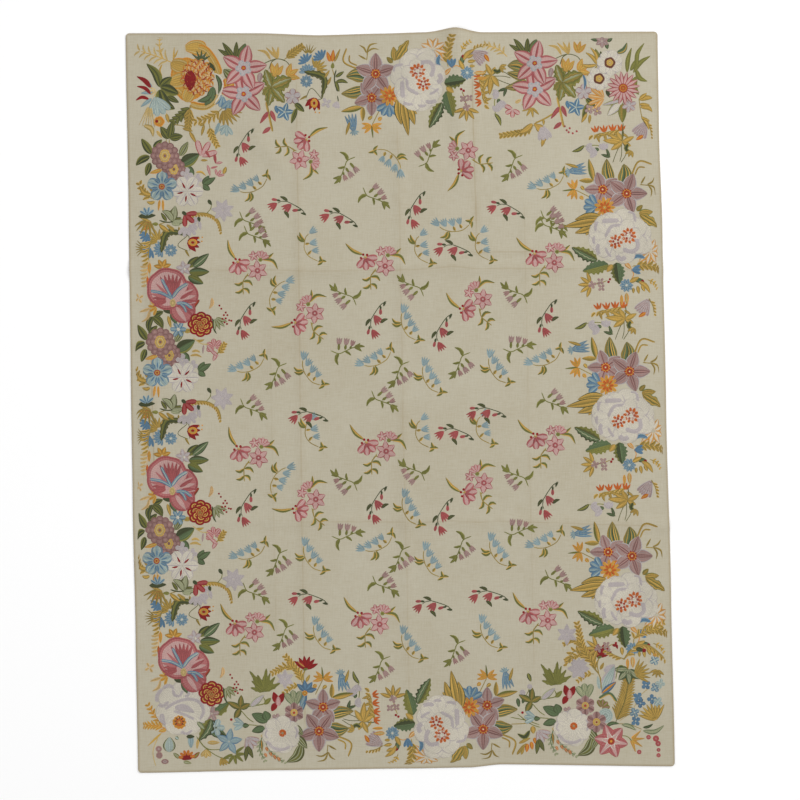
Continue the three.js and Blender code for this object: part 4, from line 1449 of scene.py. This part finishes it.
CORNER_POSY: Parts = (
    Stem(((4, 18), (18, 17), (31, 12)), (BRASS,), 0.9),
    Stem(((7, 20), (20, 30), (28, 45), (38, 54)), (STRAW,), 0.9), Leaf(-6, 14.5, 8, 18, 4, TEAL_LEAF, 0.15),
    *leaves(SEA, (10, 17, 25, 11, 4.4, 0.1), (31, 11, 53, 16.5, 5, -0.18)),
    Leaf(31, 14, 42, 18, 3.4, TEAL_LEAF, -0.1),
    Comb(((4, 19), (13, 40), (17, 60)), 15, 15, (DARK_OLIVE, GOLD, BRASS), 44, width=2.6),
    *strokes(GOLDEN, (44, 21, 19, 8, 4, 112, 100)),
    *(Petals(x, y, 5.6, 4, 4.4, yarns, x * 9) for x, y, yarns in (
        (34.4, 56.6, CORNFLOWER), (43.7, 54, BLUES), (26.3, 44.5, CORNFLOWER),
        (29, 38.5, (NAVY, BLUE)), (40.4, 42.5, CORNFLOWER), (46.4, 39.8, (SKY, AQUA)), (23, 29, BLUES),
        (24.3, 20.4, CORNFLOWER), (49, 58, (AQUA,)), (43, 81, (BLUE, AQUA)))),
    *strokes((FOREST, TEAL, SAGE), (17, 72, 15, 4, 8, 250, 140)),
    Stem(((17, 72), (8, 76), (4, 62)), (OLIVE,)),
    *strokes(GOLDEN, (23, 67, 17, 7, 3.4, 22, 100), (46, 72, 9, 5, 3, 260, 120)),
    Leaf(43, 84, 43, 91, 3, YELLOWS),
    Comb(((12, 82), (24, 95), (38, 95), (53, 83)), 9, 10, GOLDEN, 45, (-1,), 2.6),
    Stem(((12, 82), (24, 95), (38, 95), (53, 83)), GOLDEN, 2.2), Leaf(24, 93, 33, 91, 5, (FOREST,)),
    Knots(((32.6, 91),), 2.2, CRIMSON),
    Comb(((22, 98), (24, 105), (37, 111), (51, 118)), 8, 8, GOLDEN, 45, width=2.6),
    Comb(((14, 82), (4, 86), (-4, 90)), 8, 5, GOLDEN, 40, (1,), 2.6),
    Leaf(0.5, 96, 6, 92, 3.4, (CRIMSON,), 0.4), Leaf(10, 95, 11, 86, 4.4, GOLDEN),
    Comb(((-17, 76), (-28, 92), (-34, 116)), 9, 11, GOLDEN, 40, width=2.6),
    Comb(((-28, 88), (-38, 90), (-44, 78)), 8, 6, GOLDEN, 45, (-1,), 2.6),
    Comb(((-30, 96), (-38, 101), (-46, 98)), 6, 5, GOLDEN, 45, width=2.4),
    *petals(PALE_LILAC, (-44.6, 107, 11, 6, 6, 30), (-33, 73, 11.6, 6, 7, 0), outline=POINT),
    Leaf(-8, 70, 4, 77, 7, PALE_LILAC), Leaf(-9, 49, 3, 76, 13, (LAVENDER, LAVENDER, AQUA)),
    Leaf(-12, 52, -14, 66, 4, (AQUA,)), Leaf(-10, 48, 5, 60, 7, (NAVY, BLUE, ORANGE)),
    Stem(((-13, 43), (-2, 48), (5, 40)), (TEAL, GOLD), 3.4),
    Stem(((-10, 52), (-12, 66), (-20, 76)), (BRASS,), 1.4),
    Petals(-10, 34, 9, 4, 5, (OLIVE, BRASS, MAUVE), 60, 110), Disc(-6, 26, 7.6, (AQUA, AQUA)),
    Leaf(-14, 4, -20, -8, 7, OLIVE_STRIPED, across=True), *mallow(-15, 19.6, 11),
    Petals(20, 2, 13.6, 4, 4.6, YELLOWS, -14, 116, outline=HORN),
    Stem(((10, 6), (16, 5), (20, 1)), (OLIVE,)),
    *(Disc(x, y, radius, (CORAL, PINK)) for x, y, radius in (
        (37, 4.4, 2.6), (44.4, 3, 3.4), (46.6, -2, 3), (47, -8.3, 2.2), (47, -13.7, 2.4),
        (27.7, -10.4, 2.6))),
    *strokes((CORAL, PINK, ROSE, PINK, PALE_PINK), (-0.4, 0.4, 17.6, 6, 12.6, 50)),
    *strokes((CREAM, PALE_PINK), (-0.4, 0.4, 10, 6, 5, 50)),
    Disc(-0.4, 0.4, 3.8, (RUST, ORANGE)),
)


@dataclass(frozen=True)
class Bouquet:
    """One group of the border: its parts and every place it is stitched at."""

    parts: Parts
    places: tuple[Place, ...]

    def sew(self, work: Needlework) -> None:
        """Stitches the group at each of its places."""
        for place in self.places:
            sew_parts(work, self.parts, place)


CLEMATIS_PLACES = (Place(-24.2, 329), Place(226.6, 209.3, -90), Place(229.5, 31.5, -90),
                   Place(232, -153, -90), Place(83.2, -326.1, 180))


@dataclass
class Border:
    """The border's groups, in the order in which they are stitched."""

    bouquets: tuple[Bouquet, ...] = (
        Bouquet(STAR_LEAF_SPRAY, (Place(91.5, 326.5), Place(221.5, 260.5, -90), Place(224, 83.5, -90),
                                  Place(226.5, -98, -90), Place(-37.5, -317.5, 180))),
        Bouquet(CORNFLOWER_SPRAY, (Place(-93.5, 321.5), Place(-229, 152.5, 90), Place(-229, -35.5, 90),
                                   Place(-218, -216.5, 90))),
        Bouquet(TULIP_SPRAY, (Place(-94.8, -259.1), Place(199, -247.1))),
        Bouquet(BLUE_BLOOM, (Place(-94, -289),)),
        Bouquet(TWIG, (Place(130, -325),)),
        Bouquet(STAR_COMBS, (Place(-156.2, 334.7),)),
        Bouquet(STAR_EXTRAS, (Place(134.7, 339.5),)),
        Bouquet(STAR_SPRAY, (Place(-156.2, 334.7), Place(134.7, 339.5))),
        Bouquet(CLEMATIS_SPRAY, (*CLEMATIS_PLACES, Place(-80.8, -328, 180))),
        Bouquet(CLEMATIS_NEIGHBOURS, CLEMATIS_PLACES),
        Bouquet(WHITE_ROSE, (Place(18.1, 322.5), Place(219.4, 166.5, -90), Place(222.2, -13.2, -90),
                             Place(225.4, -197, -90), Place(41.5, -323, 180))),
        Bouquet(CORNER_BLOOM, (Place(-202.5, 326.5),)),
        Bouquet(CORNER_DAISIES, (Place(223.1, 314.6),)),
        Bouquet(BLUE_STAR_SPRAY, (Place(-222.5, 294.5), Place(-227, 108.5), Place(-227.5, -79.5))),
        Bouquet(CORNER_ROSE, (Place(-216.8, -306.5),)),
        Bouquet(GLORY_NEIGHBOURS, (Place(-227, 108.5), Place(-227.5, -79.5))),
        Bouquet(GLORY, (Place(-227, 108.5), Place(-227.5, -79.5), Place(-216.2, -260.5))),
        Bouquet(WHITE_SPRAY, (Place(-117.5, -329.5), Place(173.5, -322.5))),
        Bouquet(CORNER_POSY, (Place(211.5, -338.5),)),
    )

    def sew(self, work: Needlework) -> None:
        """Stitches the border."""
        for bouquet in self.bouquets:
            bouquet.sew(work)


def new_object(name: str, mesh: bpy.types.Mesh) -> bpy.types.Object:
    """Makes an object of a mesh and puts it in the scene.

    Args:
        name: the object's name.
        mesh: its mesh.

    Returns:
        The object.
    """
    piece = bpy.data.objects.new(name, mesh)
    bpy.context.scene.collection.objects.link(piece)
    return piece


class Nodes:
    """Makes shader nodes and links them, with less to write."""

    def __init__(self, tree: Tree) -> None:
        """Starts with an empty tree."""
        self.tree = tree
        tree.nodes.clear()

    def add(self, kind: str, **values: object) -> bpy.types.Node:
        """Adds a node.

        Args:
            kind: the node's type, without ShaderNode in front.
            values: its properties, or its inputs by name with spaces as underscores.

        Returns:
            The node.
        """
        node = self.tree.nodes.new(f"ShaderNode{kind}" if not kind.startswith("NodeGroup") else kind)
        for key, value in values.items():
            if hasattr(node, key):
                setattr(node, key, value)
            else:
                self.feed(node.inputs[key.replace("_", " ")], value)
        return node

    def feed(self, socket: Socket, value: object) -> None:
        """Links a socket to another one, or sets its value.

        Args:
            socket: the input.
            value: an output, or a plain value.
        """
        if isinstance(value, Socket):
            self.tree.links.new(value, socket)
        else:
            socket.default_value = value

    def math(self, operation: str, first: object, second: object = 0.0, third: object = 0.0,
             clamp: bool = False) -> Socket:
        """Adds a Math node.

        Args:
            operation: what it does.
            first: its first input, and so on with second and third.
            second: as first.
            third: as first.
            clamp: True if the result is kept from 0 to 1.

        Returns:
            Its output.
        """
        node = self.add("Math", operation=operation, use_clamp=clamp)
        for socket, value in zip(node.inputs, (first, second, third)):
            self.feed(socket, value)
        return node.outputs[0]

    def spread(self, value: object, low: float, high: float, to_low: float = 0.0,
               to_high: float = 1.0) -> Socket:
        """Maps a value from one range to another, with smooth ends.

        Args:
            value: the value.
            low: where the first range starts.
            high: where it ends.
            to_low: where the second range starts.
            to_high: where it ends.

        Returns:
            The mapped value.
        """
        node = self.add("MapRange", interpolation_type="SMOOTHSTEP")
        for socket, part in zip(node.inputs, (value, low, high, to_low, to_high)):
            self.feed(socket, part)
        return node.outputs[0]

    def mix(self, share: object, first: object, second: object, blend: str = "MIX") -> Socket:
        """Mixes two colours.

        Args:
            share: how much of the second one there is.
            first: the first colour.
            second: the second one.
            blend: the blend type.

        Returns:
            The mixed colour.
        """
        node = self.add("Mix", data_type="RGBA", blend_type=blend)
        for socket, value in zip((node.inputs[0], node.inputs[6], node.inputs[7]), (share, first, second)):
            self.feed(socket, value)
        return node.outputs[2]

    def noise(self, vector: object, scale: float, detail: float = 2.0, rough: float = 0.5) -> Socket:
        """Adds a noise and gives its value from 0 to 1."""
        node = self.add("TexNoise", Vector=vector, Scale=scale, Detail=detail, Roughness=rough)
        return node.outputs["Fac"]


def new_group(name: str, inputs: dict[str, tuple[str, object]], outputs: dict[str, str]) -> tuple:
    """Starts a shader node group.

    Args:
        name: the group's name.
        inputs: socket name to its kind and default value.
        outputs: socket name to its kind.

    Returns:
        The tree, its Nodes, and its input and output nodes.
    """
    tree = bpy.data.node_groups.new(name, "ShaderNodeTree")
    nodes = Nodes(tree)
    for socket_name, (kind, value) in inputs.items():
        socket = tree.interface.new_socket(name=socket_name, in_out="INPUT", socket_type=f"NodeSocket{kind}")
        if value is not None:
            socket.default_value = value
    for socket_name, kind in outputs.items():
        tree.interface.new_socket(name=socket_name, in_out="OUTPUT", socket_type=f"NodeSocket{kind}")
    return tree, nodes, tree.nodes.new("NodeGroupInput"), tree.nodes.new("NodeGroupOutput")


@dataclass(frozen=True)
class ChainRows:
    """The relief of rows of chain stitch and the shade painted with it, as a node group shared by the cloth
    and its flowers.
    """

    stitch: float = 1.5
    name: str = "chain_rows"

    def build(self) -> Tree:
        """Builds the group: rows in, height and painted shade out.

        Returns:
            The node group.
        """
        rows_in = {"Along": ("Float", 0.0), "Across": ("Float", 0.0)}
        tree, nodes, given, out = new_group(self.name, rows_in, {"Height": "Float", "Shade": "Float"})
        across = nodes.math("FRACT", given.outputs["Across"])
        side = nodes.math("ABSOLUTE", nodes.math("SUBTRACT", across, 0.5))
        stitches = nodes.math("DIVIDE", given.outputs["Along"], self.stitch)
        slant = nodes.math("MULTIPLY_ADD", side, 1.3, stitches)
        link = nodes.math("ABSOLUTE", nodes.math("SUBTRACT", nodes.math("FRACT", slant), 0.5))
        loop = nodes.spread(link, 0.02, 0.34)
        edge = nodes.spread(side, 0.5, 0.3)
        heart = nodes.spread(side, 0.0, 0.14, 0.55, 1.0)
        height = nodes.math("MULTIPLY", nodes.math("MULTIPLY", loop, edge), heart)
        nodes.feed(out.inputs["Height"], height)
        # Shade is painted shade: it is low where the loops and rows are low, and darkens the colour there.
        nodes.feed(out.inputs["Shade"], nodes.spread(height, 0.0, 0.7))
        return tree


@dataclass(frozen=True)
class WoolFinish:
    """What both finishes share: matt wool with the relief of rows of chain stitch and their shade painted
    into the colour.
    """

    chain: Tree
    name: str = "wool"
    roughness: float = 0.95
    sheen: float = 0.15
    sheen_roughness: float = 0.5
    specular: float = 0.2
    relief: float = 0.3
    depth: float = 0.0006
    # The colour's painted shade runs from shade_low between the loops to shade_high on top of them.
    shade_low: float = 0.94
    shade_high: float = 1.02

    def start(self) -> tuple[bpy.types.Material, Nodes, bpy.types.Node, Socket]:
        """Starts the material.

        Returns:
            The material, its nodes, its rows of stitches and the place on the rug.
        """
        material = bpy.data.materials.new(self.name)
        material.use_nodes = True
        nodes = Nodes(material.node_tree)
        chain = nodes.add("Group", node_tree=self.chain)
        return material, nodes, chain, nodes.add("TexCoord").outputs["Object"]

    def surface(self, nodes: Nodes, chain: bpy.types.Node, colour: Socket, tone: object = 1.0) -> None:
        """Ends the material with its shader.

        Args:
            nodes: the material's nodes.
            chain: its rows of stitches.
            colour: the yarn's colour.
            tone: how light the yarn is from place to place.
        """
        # Painted shade: the colour is multiplied down where the chain rows are low, between the loops and
        # between the rows.
        loops = nodes.spread(chain.outputs["Shade"], 0.0, 1.0, self.shade_low, self.shade_high)
        shade = nodes.math("MULTIPLY", tone, loops)
        grey = nodes.add("CombineColor", Red=shade, Green=shade, Blue=shade).outputs[0]
        bump = nodes.add("Bump", Strength=self.relief, Distance=self.depth, Height=chain.outputs["Height"])
        surface = nodes.add("BsdfPrincipled", Base_Color=nodes.mix(1.0, colour, grey, "MULTIPLY"),
                            Roughness=self.roughness, Normal=bump.outputs["Normal"], Sheen_Weight=self.sheen,
                            Sheen_Roughness=self.sheen_roughness, Specular_IOR_Level=self.specular)
        nodes.add("OutputMaterial", Surface=surface.outputs["BSDF"])


@dataclass(frozen=True)
class StitchFinish(WoolFinish):
    """Wool yarn in chain stitch: each row's own yarn, with painted shade that makes it paler on top and
    darker between the loops.
    """

    name: str = "stitched_wool"
    roughness: float = 0.92
    sheen: float = 0.25
    sheen_roughness: float = 0.6
    relief: float = 0.35
    depth: float = 0.0008
    # Strong painted shade between the loops of the flowers.
    shade_low: float = 0.8
    shade_high: float = 1.1

    def build(self) -> bpy.types.Material:
        """Builds the material.

        Returns:
            The material.
        """
        material, nodes, chain, place = self.start()
        rows = nodes.add("SeparateXYZ", Vector=nodes.add("UVMap", uv_map="Rows").outputs["UV"])
        nodes.feed(chain.inputs["Along"], rows.outputs["X"])
        nodes.feed(chain.inputs["Across"], rows.outputs["Y"])
        yarn = nodes.add("VertexColor", layer_name="Yarn").outputs["Color"]
        fade = nodes.spread(nodes.noise(place, 9.0, 3.0), 0.3, 0.7, 0.92, 1.07)
        ply = nodes.spread(nodes.noise(place, 420.0, 1.0), 0.3, 0.7, 0.93, 1.05)
        self.surface(nodes, chain, yarn, nodes.math("MULTIPLY", fade, ply))
        return material


@dataclass(frozen=True)
class CreaseShadeLine:
    """One storage fold painted on the cloth as a thin line of shade: the share where it runs, its reach and
    its strength.
    """

    along: bool
    first: float
    last: float
    start: float
    end: float
    strength: float


@dataclass(frozen=True)
class ClothFinish(WoolFinish):
    """The cream ground: close rows of stitches with painted shade between them, soft stains, thin brown lines
    of painted shade along the storage folds and a darker turned edge.
    """

    name: str = "cream_ground"
    ground: tuple[int, int, int] = (184, 178, 159)
    shadow: tuple[int, int, int] = (167, 157, 133)
    # The brown of the painted shade along the folds, and of the darker turned edge.
    crease_shade: tuple[int, int, int] = (150, 132, 100)
    painted_crease_shade: tuple[CreaseShadeLine, ...] = (
        CreaseShadeLine(True, 0.312, 0.32, 0.02, 0.97, 0.5),
        CreaseShadeLine(True, 0.508, 0.508, 0.02, 0.9, 0.35),
        CreaseShadeLine(True, 0.656, 0.65, 0.7, 1.0, 0.7),
        CreaseShadeLine(True, 0.047, 0.033, 0.2, 0.72, 0.8),
        CreaseShadeLine(True, 0.262, 0.262, 0.1, 0.64, 0.22),
        CreaseShadeLine(True, 0.742, 0.742, 0.1, 0.8, 0.22),
        CreaseShadeLine(False, 0.343, 0.327, 0.3, 1.0, 0.4),
        CreaseShadeLine(False, 0.68, 0.676, 0.0, 1.0, 0.4),
        CreaseShadeLine(False, 0.7, 0.7, 0.62, 0.9, 0.4),
    )

    def crease_shade_mask(self, nodes: Nodes, across: object, along: object, waver: object) -> Socket:
        """Adds up the painted shade lines along the storage folds.

        Args:
            nodes: the material's nodes.
            across: the share of the width.
            along: the share of the length.
            waver: a small noise that bends the lines.

        Returns:
            How strong the painted fold shade is, from 0 to 1.
        """
        total: object = 0.0
        for line in self.painted_crease_shade:
            aside, run = (across, along) if line.along else (along, across)
            size = SHAPE.width if line.along else SHAPE.length
            crest = nodes.math("MULTIPLY_ADD", run, line.last - line.first, line.first)
            bent = nodes.math("ADD", nodes.math("SUBTRACT", aside, crest), waver)
            distance = nodes.math("MULTIPLY", nodes.math("ABSOLUTE", bent), size)
            thin = nodes.spread(distance, 0.4, 3.4, line.strength * 0.55, 0.0)
            wide = nodes.spread(distance, 2.0, 24.0, line.strength * 0.2, 0.0)
            ends = nodes.math("MULTIPLY", nodes.spread(run, line.start, line.start + 0.05),
                              nodes.spread(run, line.end, line.end - 0.05))
            total = nodes.math("MULTIPLY_ADD", nodes.math("ADD", thin, wide), ends, total)
        return total

    def build(self) -> bpy.types.Material:
        """Builds the material.

        Returns:
            The material.
        """
        material, nodes, chain, place = self.start()
        cloth = nodes.add("SeparateXYZ", Vector=nodes.add("UVMap", uv_map="Cloth").outputs["UV"])
        across, along = cloth.outputs["X"], cloth.outputs["Y"]
        nodes.feed(chain.inputs["Along"], nodes.math("MULTIPLY", across, SHAPE.width * MILLIMETRE / ROW))
        wobble = nodes.math("MULTIPLY", nodes.noise(place, 60.0, 1.0), 0.6)
        nodes.feed(chain.inputs["Across"],
                   nodes.math("MULTIPLY_ADD", along, SHAPE.length * MILLIMETRE / ROW, wobble))
        stains = nodes.spread(nodes.noise(place, 2.6, 4.0, 0.6), 0.32, 0.72)
        clouds = nodes.spread(nodes.noise(place, 9.0, 4.0, 0.6), 0.3, 0.75)
        drawn_out = (
            nodes.add("Mapping", Vector=place, Scale=scale).outputs[0]
            for scale in ((1.0, 14.0, 1.0), (14.0, 1.0, 1.0))
        )
        slub, warp = (nodes.spread(nodes.noise(long_way, 30.0), 0.35, 0.7) for long_way in drawn_out)
        pale, dark, brown = (linear_colour(colour) for colour in (self.ground, self.shadow, self.crease_shade))
        soiled = nodes.math("MULTIPLY_ADD", stains, 0.24, nodes.math("MULTIPLY", clouds, 0.14))
        threads = nodes.math("MULTIPLY_ADD", slub, 0.26, nodes.math("MULTIPLY", warp, 0.2))
        colour = nodes.mix(nodes.math("ADD", soiled, threads, clamp=True), pale, dark)
        waver = nodes.math("MULTIPLY_ADD", nodes.noise(place, 5.0), 0.004, -0.002)
        painted_crease_shade = self.crease_shade_mask(nodes, across, along, waver)
        broken = nodes.spread(nodes.noise(place, 14.0), 0.3, 0.6, 0.45, 1.0)
        # Painted shade: thin brown lines, broken up by noise, darken the colour along the storage folds.
        colour = nodes.mix(nodes.math("MULTIPLY", painted_crease_shade, broken, clamp=True), colour, brown)
        inset_x, inset_y = (
            nodes.math("MULTIPLY", nodes.math("MINIMUM", share, nodes.math("SUBTRACT", 1.0, share)), size)
            for share, size in ((across, SHAPE.width), (along, SHAPE.length))
        )
        rim = nodes.spread(nodes.math("MINIMUM", inset_x, inset_y), 1.0, 9.0, 0.55, 0.0)
        self.surface(nodes, chain, nodes.mix(rim, colour, brown))
        return material


@dataclass
class Cloth:
    """The rug's cloth: one closed sheet with a rounded, doubled edge and the folds of storage."""

    columns: int = 150
    rows: int = 205
    rim: tuple[float, ...] = (0.0, 0.8, 2.4, 6.0, 12.0, 16.0)
    roll_width: float = 2.4
    roll_depth: float = 1.9
    under_depth: float = 1.6
    face_chart: tuple[float, float, float, float] = (0.725, 0.98, 0.005, 0.01)
    under_chart: tuple[float, float] = (0.32, 0.745)

    def lines(self, size: float, count: int) -> Array:
        """The grid lines as shares: close at the two rims and even between.

        Args:
            size: the rug's size across the lines, in millimetres.
            count: how many even lines there are.

        Returns:
            The shares, in order.
        """
        rim = np.array(self.rim) / size
        inner = np.linspace(rim[-1], 1 - rim[-1], count)[1:-1]
        return np.concatenate([rim, inner, 1 - rim[::-1]])

    def build(self) -> bpy.types.Object:
        """Builds the sheet, its face, underside and edge.

        Returns:
            The sheet's object.
        """
        across_lines = self.lines(SHAPE.width, self.columns)
        along_lines = self.lines(SHAPE.length, self.rows)
        across, along = np.meshgrid(across_lines, along_lines)
        across, along = self.rounded(across, along)
        x, y = SHAPE.place(across, along)
        lift = SHAPE.lift(across, along, x, y)
        inset_x = np.minimum(across, 1 - across) * SHAPE.width
        inset = np.minimum(inset_x, np.minimum(along, 1 - along) * SHAPE.length)
        hem = SHAPE.hem_rise * (1 - smooth(inset, SHAPE.hem_width * 0.5, SHAPE.hem_width))
        reach = 1 - np.clip(inset / self.roll_width, 0, 1)
        roll = self.roll_depth * (1 - np.sqrt(np.clip(1 - reach ** 2, 0, 1)))
        face = np.stack([x, y, lift + SHAPE.thickness + hem - roll], axis=-1)
        under = np.stack([x, y, lift + np.minimum(roll, self.under_depth)], axis=-1)
        high, wide = x.shape
        index = np.arange(high * wide).reshape(high, wide)
        faces = [quads(index, False), quads(index + high * wide, True)]
        ring = np.concatenate([index[0, :], index[1:, -1], index[-1, -2::-1], index[-2:0:-1, 0]])
        after = np.roll(ring, -1)
        faces.append(np.stack([ring, ring + high * wide, after + high * wide, after], axis=-1)[:, ::-1])
        mesh = bpy.data.meshes.new("rug_cloth")
        points = np.concatenate([face.reshape(-1, 3), under.reshape(-1, 3)]) * MILLIMETRE
        mesh.from_pydata(points.tolist(), [], np.concatenate(faces).tolist())
        shares = np.stack([across, along], axis=-1).reshape(-1, 2)
        vertex = np.zeros(len(mesh.loops), dtype=np.int32)
        mesh.loops.foreach_get("vertex_index", vertex)
        cloth_map = mesh.uv_layers.new(name="Cloth")
        cloth_map.uv.foreach_set("vector", shares[vertex % (high * wide)].astype(np.float32).ravel())
        bake = shares[vertex % (high * wide)] * self.face_chart[:2] + self.face_chart[2:]
        below = np.repeat(np.arange(len(mesh.polygons)) >= len(faces[0]), 4)
        bake[below, 0] = bake[below, 0] * self.under_chart[0] + self.under_chart[1]
        bake_map = mesh.uv_layers.new(name="OFBake")
        bake_map.uv.foreach_set("vector", bake.astype(np.float32).ravel())
        mesh.shade_smooth()
        return new_object("rug_cloth", mesh)

    @staticmethod
    def rounded(across: Array, along: Array) -> tuple[Array, Array]:
        """Moves points near the rug's corners onto the corners' rounding.

        Args:
            across: the shares of the width.
            along: the shares of the length.

        Returns:
            The moved shares.
        """
        p = 1 - np.minimum(across, 1 - across) * SHAPE.width / SHAPE.corner
        q = 1 - np.minimum(along, 1 - along) * SHAPE.length / SHAPE.corner
        near = (p > 0) & (q > 0)
        reach = np.maximum(np.maximum(p, q), 1e-6)
        turn = np.minimum(p, q) / reach * math.pi / 4
        long, short = reach * np.cos(turn), reach * np.sin(turn)
        out_x, out_y = np.where(p >= q, long, short), np.where(p >= q, short, long)
        in_x, in_y = (1 - out_x) * SHAPE.corner / SHAPE.width, (1 - out_y) * SHAPE.corner / SHAPE.length
        return (
            np.where(near, np.where(across < 0.5, in_x, 1 - in_x), across),
            np.where(near, np.where(along < 0.5, in_y, 1 - in_y), along),
        )

    def dress(self, piece: bpy.types.Object, finish: ClothFinish) -> None:
        """Gives the cloth its finish."""
        piece.data.materials.append(finish.build())


def quads(index: Array, flipped: bool) -> Array:
    """The faces of a grid of point numbers, facing up or down."""
    faces = np.stack([index[:-1, :-1], index[:-1, 1:], index[1:, 1:], index[1:, :-1]], axis=-1)
    return faces.reshape(-1, 4)[:, ::-1] if flipped else faces.reshape(-1, 4)


@dataclass
class Flowers:
    """All the stitched flowers, in one mesh for each part of the rug."""

    name: str = "stitched_flowers"
    gap: float = 0.005

    def build(self, work: Needlework) -> list[bpy.types.Object]:
        """Turns the stitched regions into meshes.

        Args:
            work: the finished needlework.

        Returns:
            The pieces.
        """
        pieces = []
        for (row, column), region in sorted(work.regions.items()):
            points, faces = np.concatenate(region.points), np.concatenate(region.faces)
            mesh = bpy.data.meshes.new(f"{self.name}_{row}_{column}")
            mesh.from_pydata(points.tolist(), [], faces.tolist())
            colours = np.concatenate(region.colours)
            yarn = mesh.color_attributes.new("Yarn", "FLOAT_COLOR", "CORNER")
            colours = np.hstack([colours, np.ones((len(colours), 1))])
            yarn.data.foreach_set("color", colours.astype(np.float32).ravel())
            rows_map = mesh.uv_layers.new(name="Rows")
            rows_map.uv.foreach_set("vector", np.concatenate(region.rows).astype(np.float32).ravel())
            low, high = points[:, :2].min(axis=0), points[:, :2].max(axis=0)
            flat = (points[faces.ravel(), :2] - low) / (high - low).max() * (1 - 2 * self.gap) + self.gap
            mesh.uv_layers.new(name="OFBake").uv.foreach_set("vector", flat.astype(np.float32).ravel())
            mesh.shade_smooth()
            pieces.append(new_object(mesh.name, mesh))
        return pieces

    def dress(self, pieces: list[bpy.types.Object], finish: StitchFinish) -> None:
        """Gives every piece the stitched finish.

        Args:
            pieces: the pieces.
            finish: their finish.
        """
        material = finish.build()
        for piece in pieces:
            piece.data.materials.append(material)


@dataclass
class Studio:
    """The pale floor, the soft light and the camera straight above."""

    frame_width: float = 2.32
    lens: float = 85.0
    centre: tuple[float, float] = (-0.0006, 0.0009)
    floor_half: float = 30.0
    sky: float = 0.62
    floor_grey: float = 0.97
    key: tuple = ((3.4, 2.6, 4.2), 3.0, 190.0)
    fill: tuple = ((-3.2, -1.6, 4.5), 4.0, 60.0)

    def build(self) -> None:
        """Builds the floor, the lights and the camera."""
        mesh = bpy.data.meshes.new("floor")
        half = self.floor_half
        corners = [(-half, -half, 0), (half, -half, 0), (half, half, 0), (-half, half, 0)]
        mesh.from_pydata(corners, [], [(0, 1, 2, 3)])
        floor = new_object("floor", mesh)
        paint = bpy.data.materials.new("pale_floor")
        paint.use_nodes = True
        surface = paint.node_tree.nodes["Principled BSDF"]
        surface.inputs["Base Color"].default_value = (*[self.floor_grey] * 3, 1.0)
        surface.inputs["Roughness"].default_value = 0.9
        mesh.materials.append(paint)
        world = bpy.data.worlds.new("soft_room")
        world.use_nodes = True
        sky = world.node_tree.nodes["Background"]
        sky.inputs["Color"].default_value = (1.0, 1.0, 1.0, 1.0)
        sky.inputs["Strength"].default_value = self.sky
        bpy.context.scene.world = world
        self.lamp("key_light", *self.key)
        self.lamp("fill_light", *self.fill)
        camera = bpy.data.objects.new("camera", bpy.data.cameras.new("camera"))
        camera.data.lens = self.lens
        camera.location = (*self.centre, self.frame_width * self.lens / camera.data.sensor_width)
        bpy.context.scene.collection.objects.link(camera)
        bpy.context.scene.camera = camera
        bpy.context.scene.view_settings.view_transform = "Standard"

    @staticmethod
    def lamp(name: str, place: tuple[float, float, float], size: float, power: float) -> None:
        """Adds a square light that faces the middle of the rug.

        Args:
            name: the light's name.
            place: where it hangs.
            size: the length of its side.
            power: its power in watts.
        """
        light = bpy.data.lights.new(name, "AREA")
        light.size, light.energy = size, power
        lamp = bpy.data.objects.new(name, light)
        lamp.location = place
        lamp.rotation_euler = (-Vector(place)).to_track_quat("-Z", "Y").to_euler()
        bpy.context.scene.collection.objects.link(lamp)


def main() -> None:
    """Builds the rug and reports each piece."""
    logging.basicConfig(level=logging.INFO, format="%(name)s: %(message)s")
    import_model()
    Studio().build()
    chain = ChainRows().build()
    cloth_maker = Cloth()
    cloth = cloth_maker.build()
    cloth_maker.dress(cloth, ClothFinish(chain))
    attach(cloth, "root")
    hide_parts("rug")
    LOG.info("%s: %d faces", cloth.name, len(cloth.data.polygons))
    work = Needlework()
    Field().sew(work)
    Border().sew(work)
    flowers_maker = Flowers()
    flowers = flowers_maker.build(work)
    flowers_maker.dress(flowers, StitchFinish(chain))
    for piece in flowers:
        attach(piece, "root")
        LOG.info("%s: %d faces", piece.name, len(piece.data.polygons))


if __name__ == "__main__":
    main()
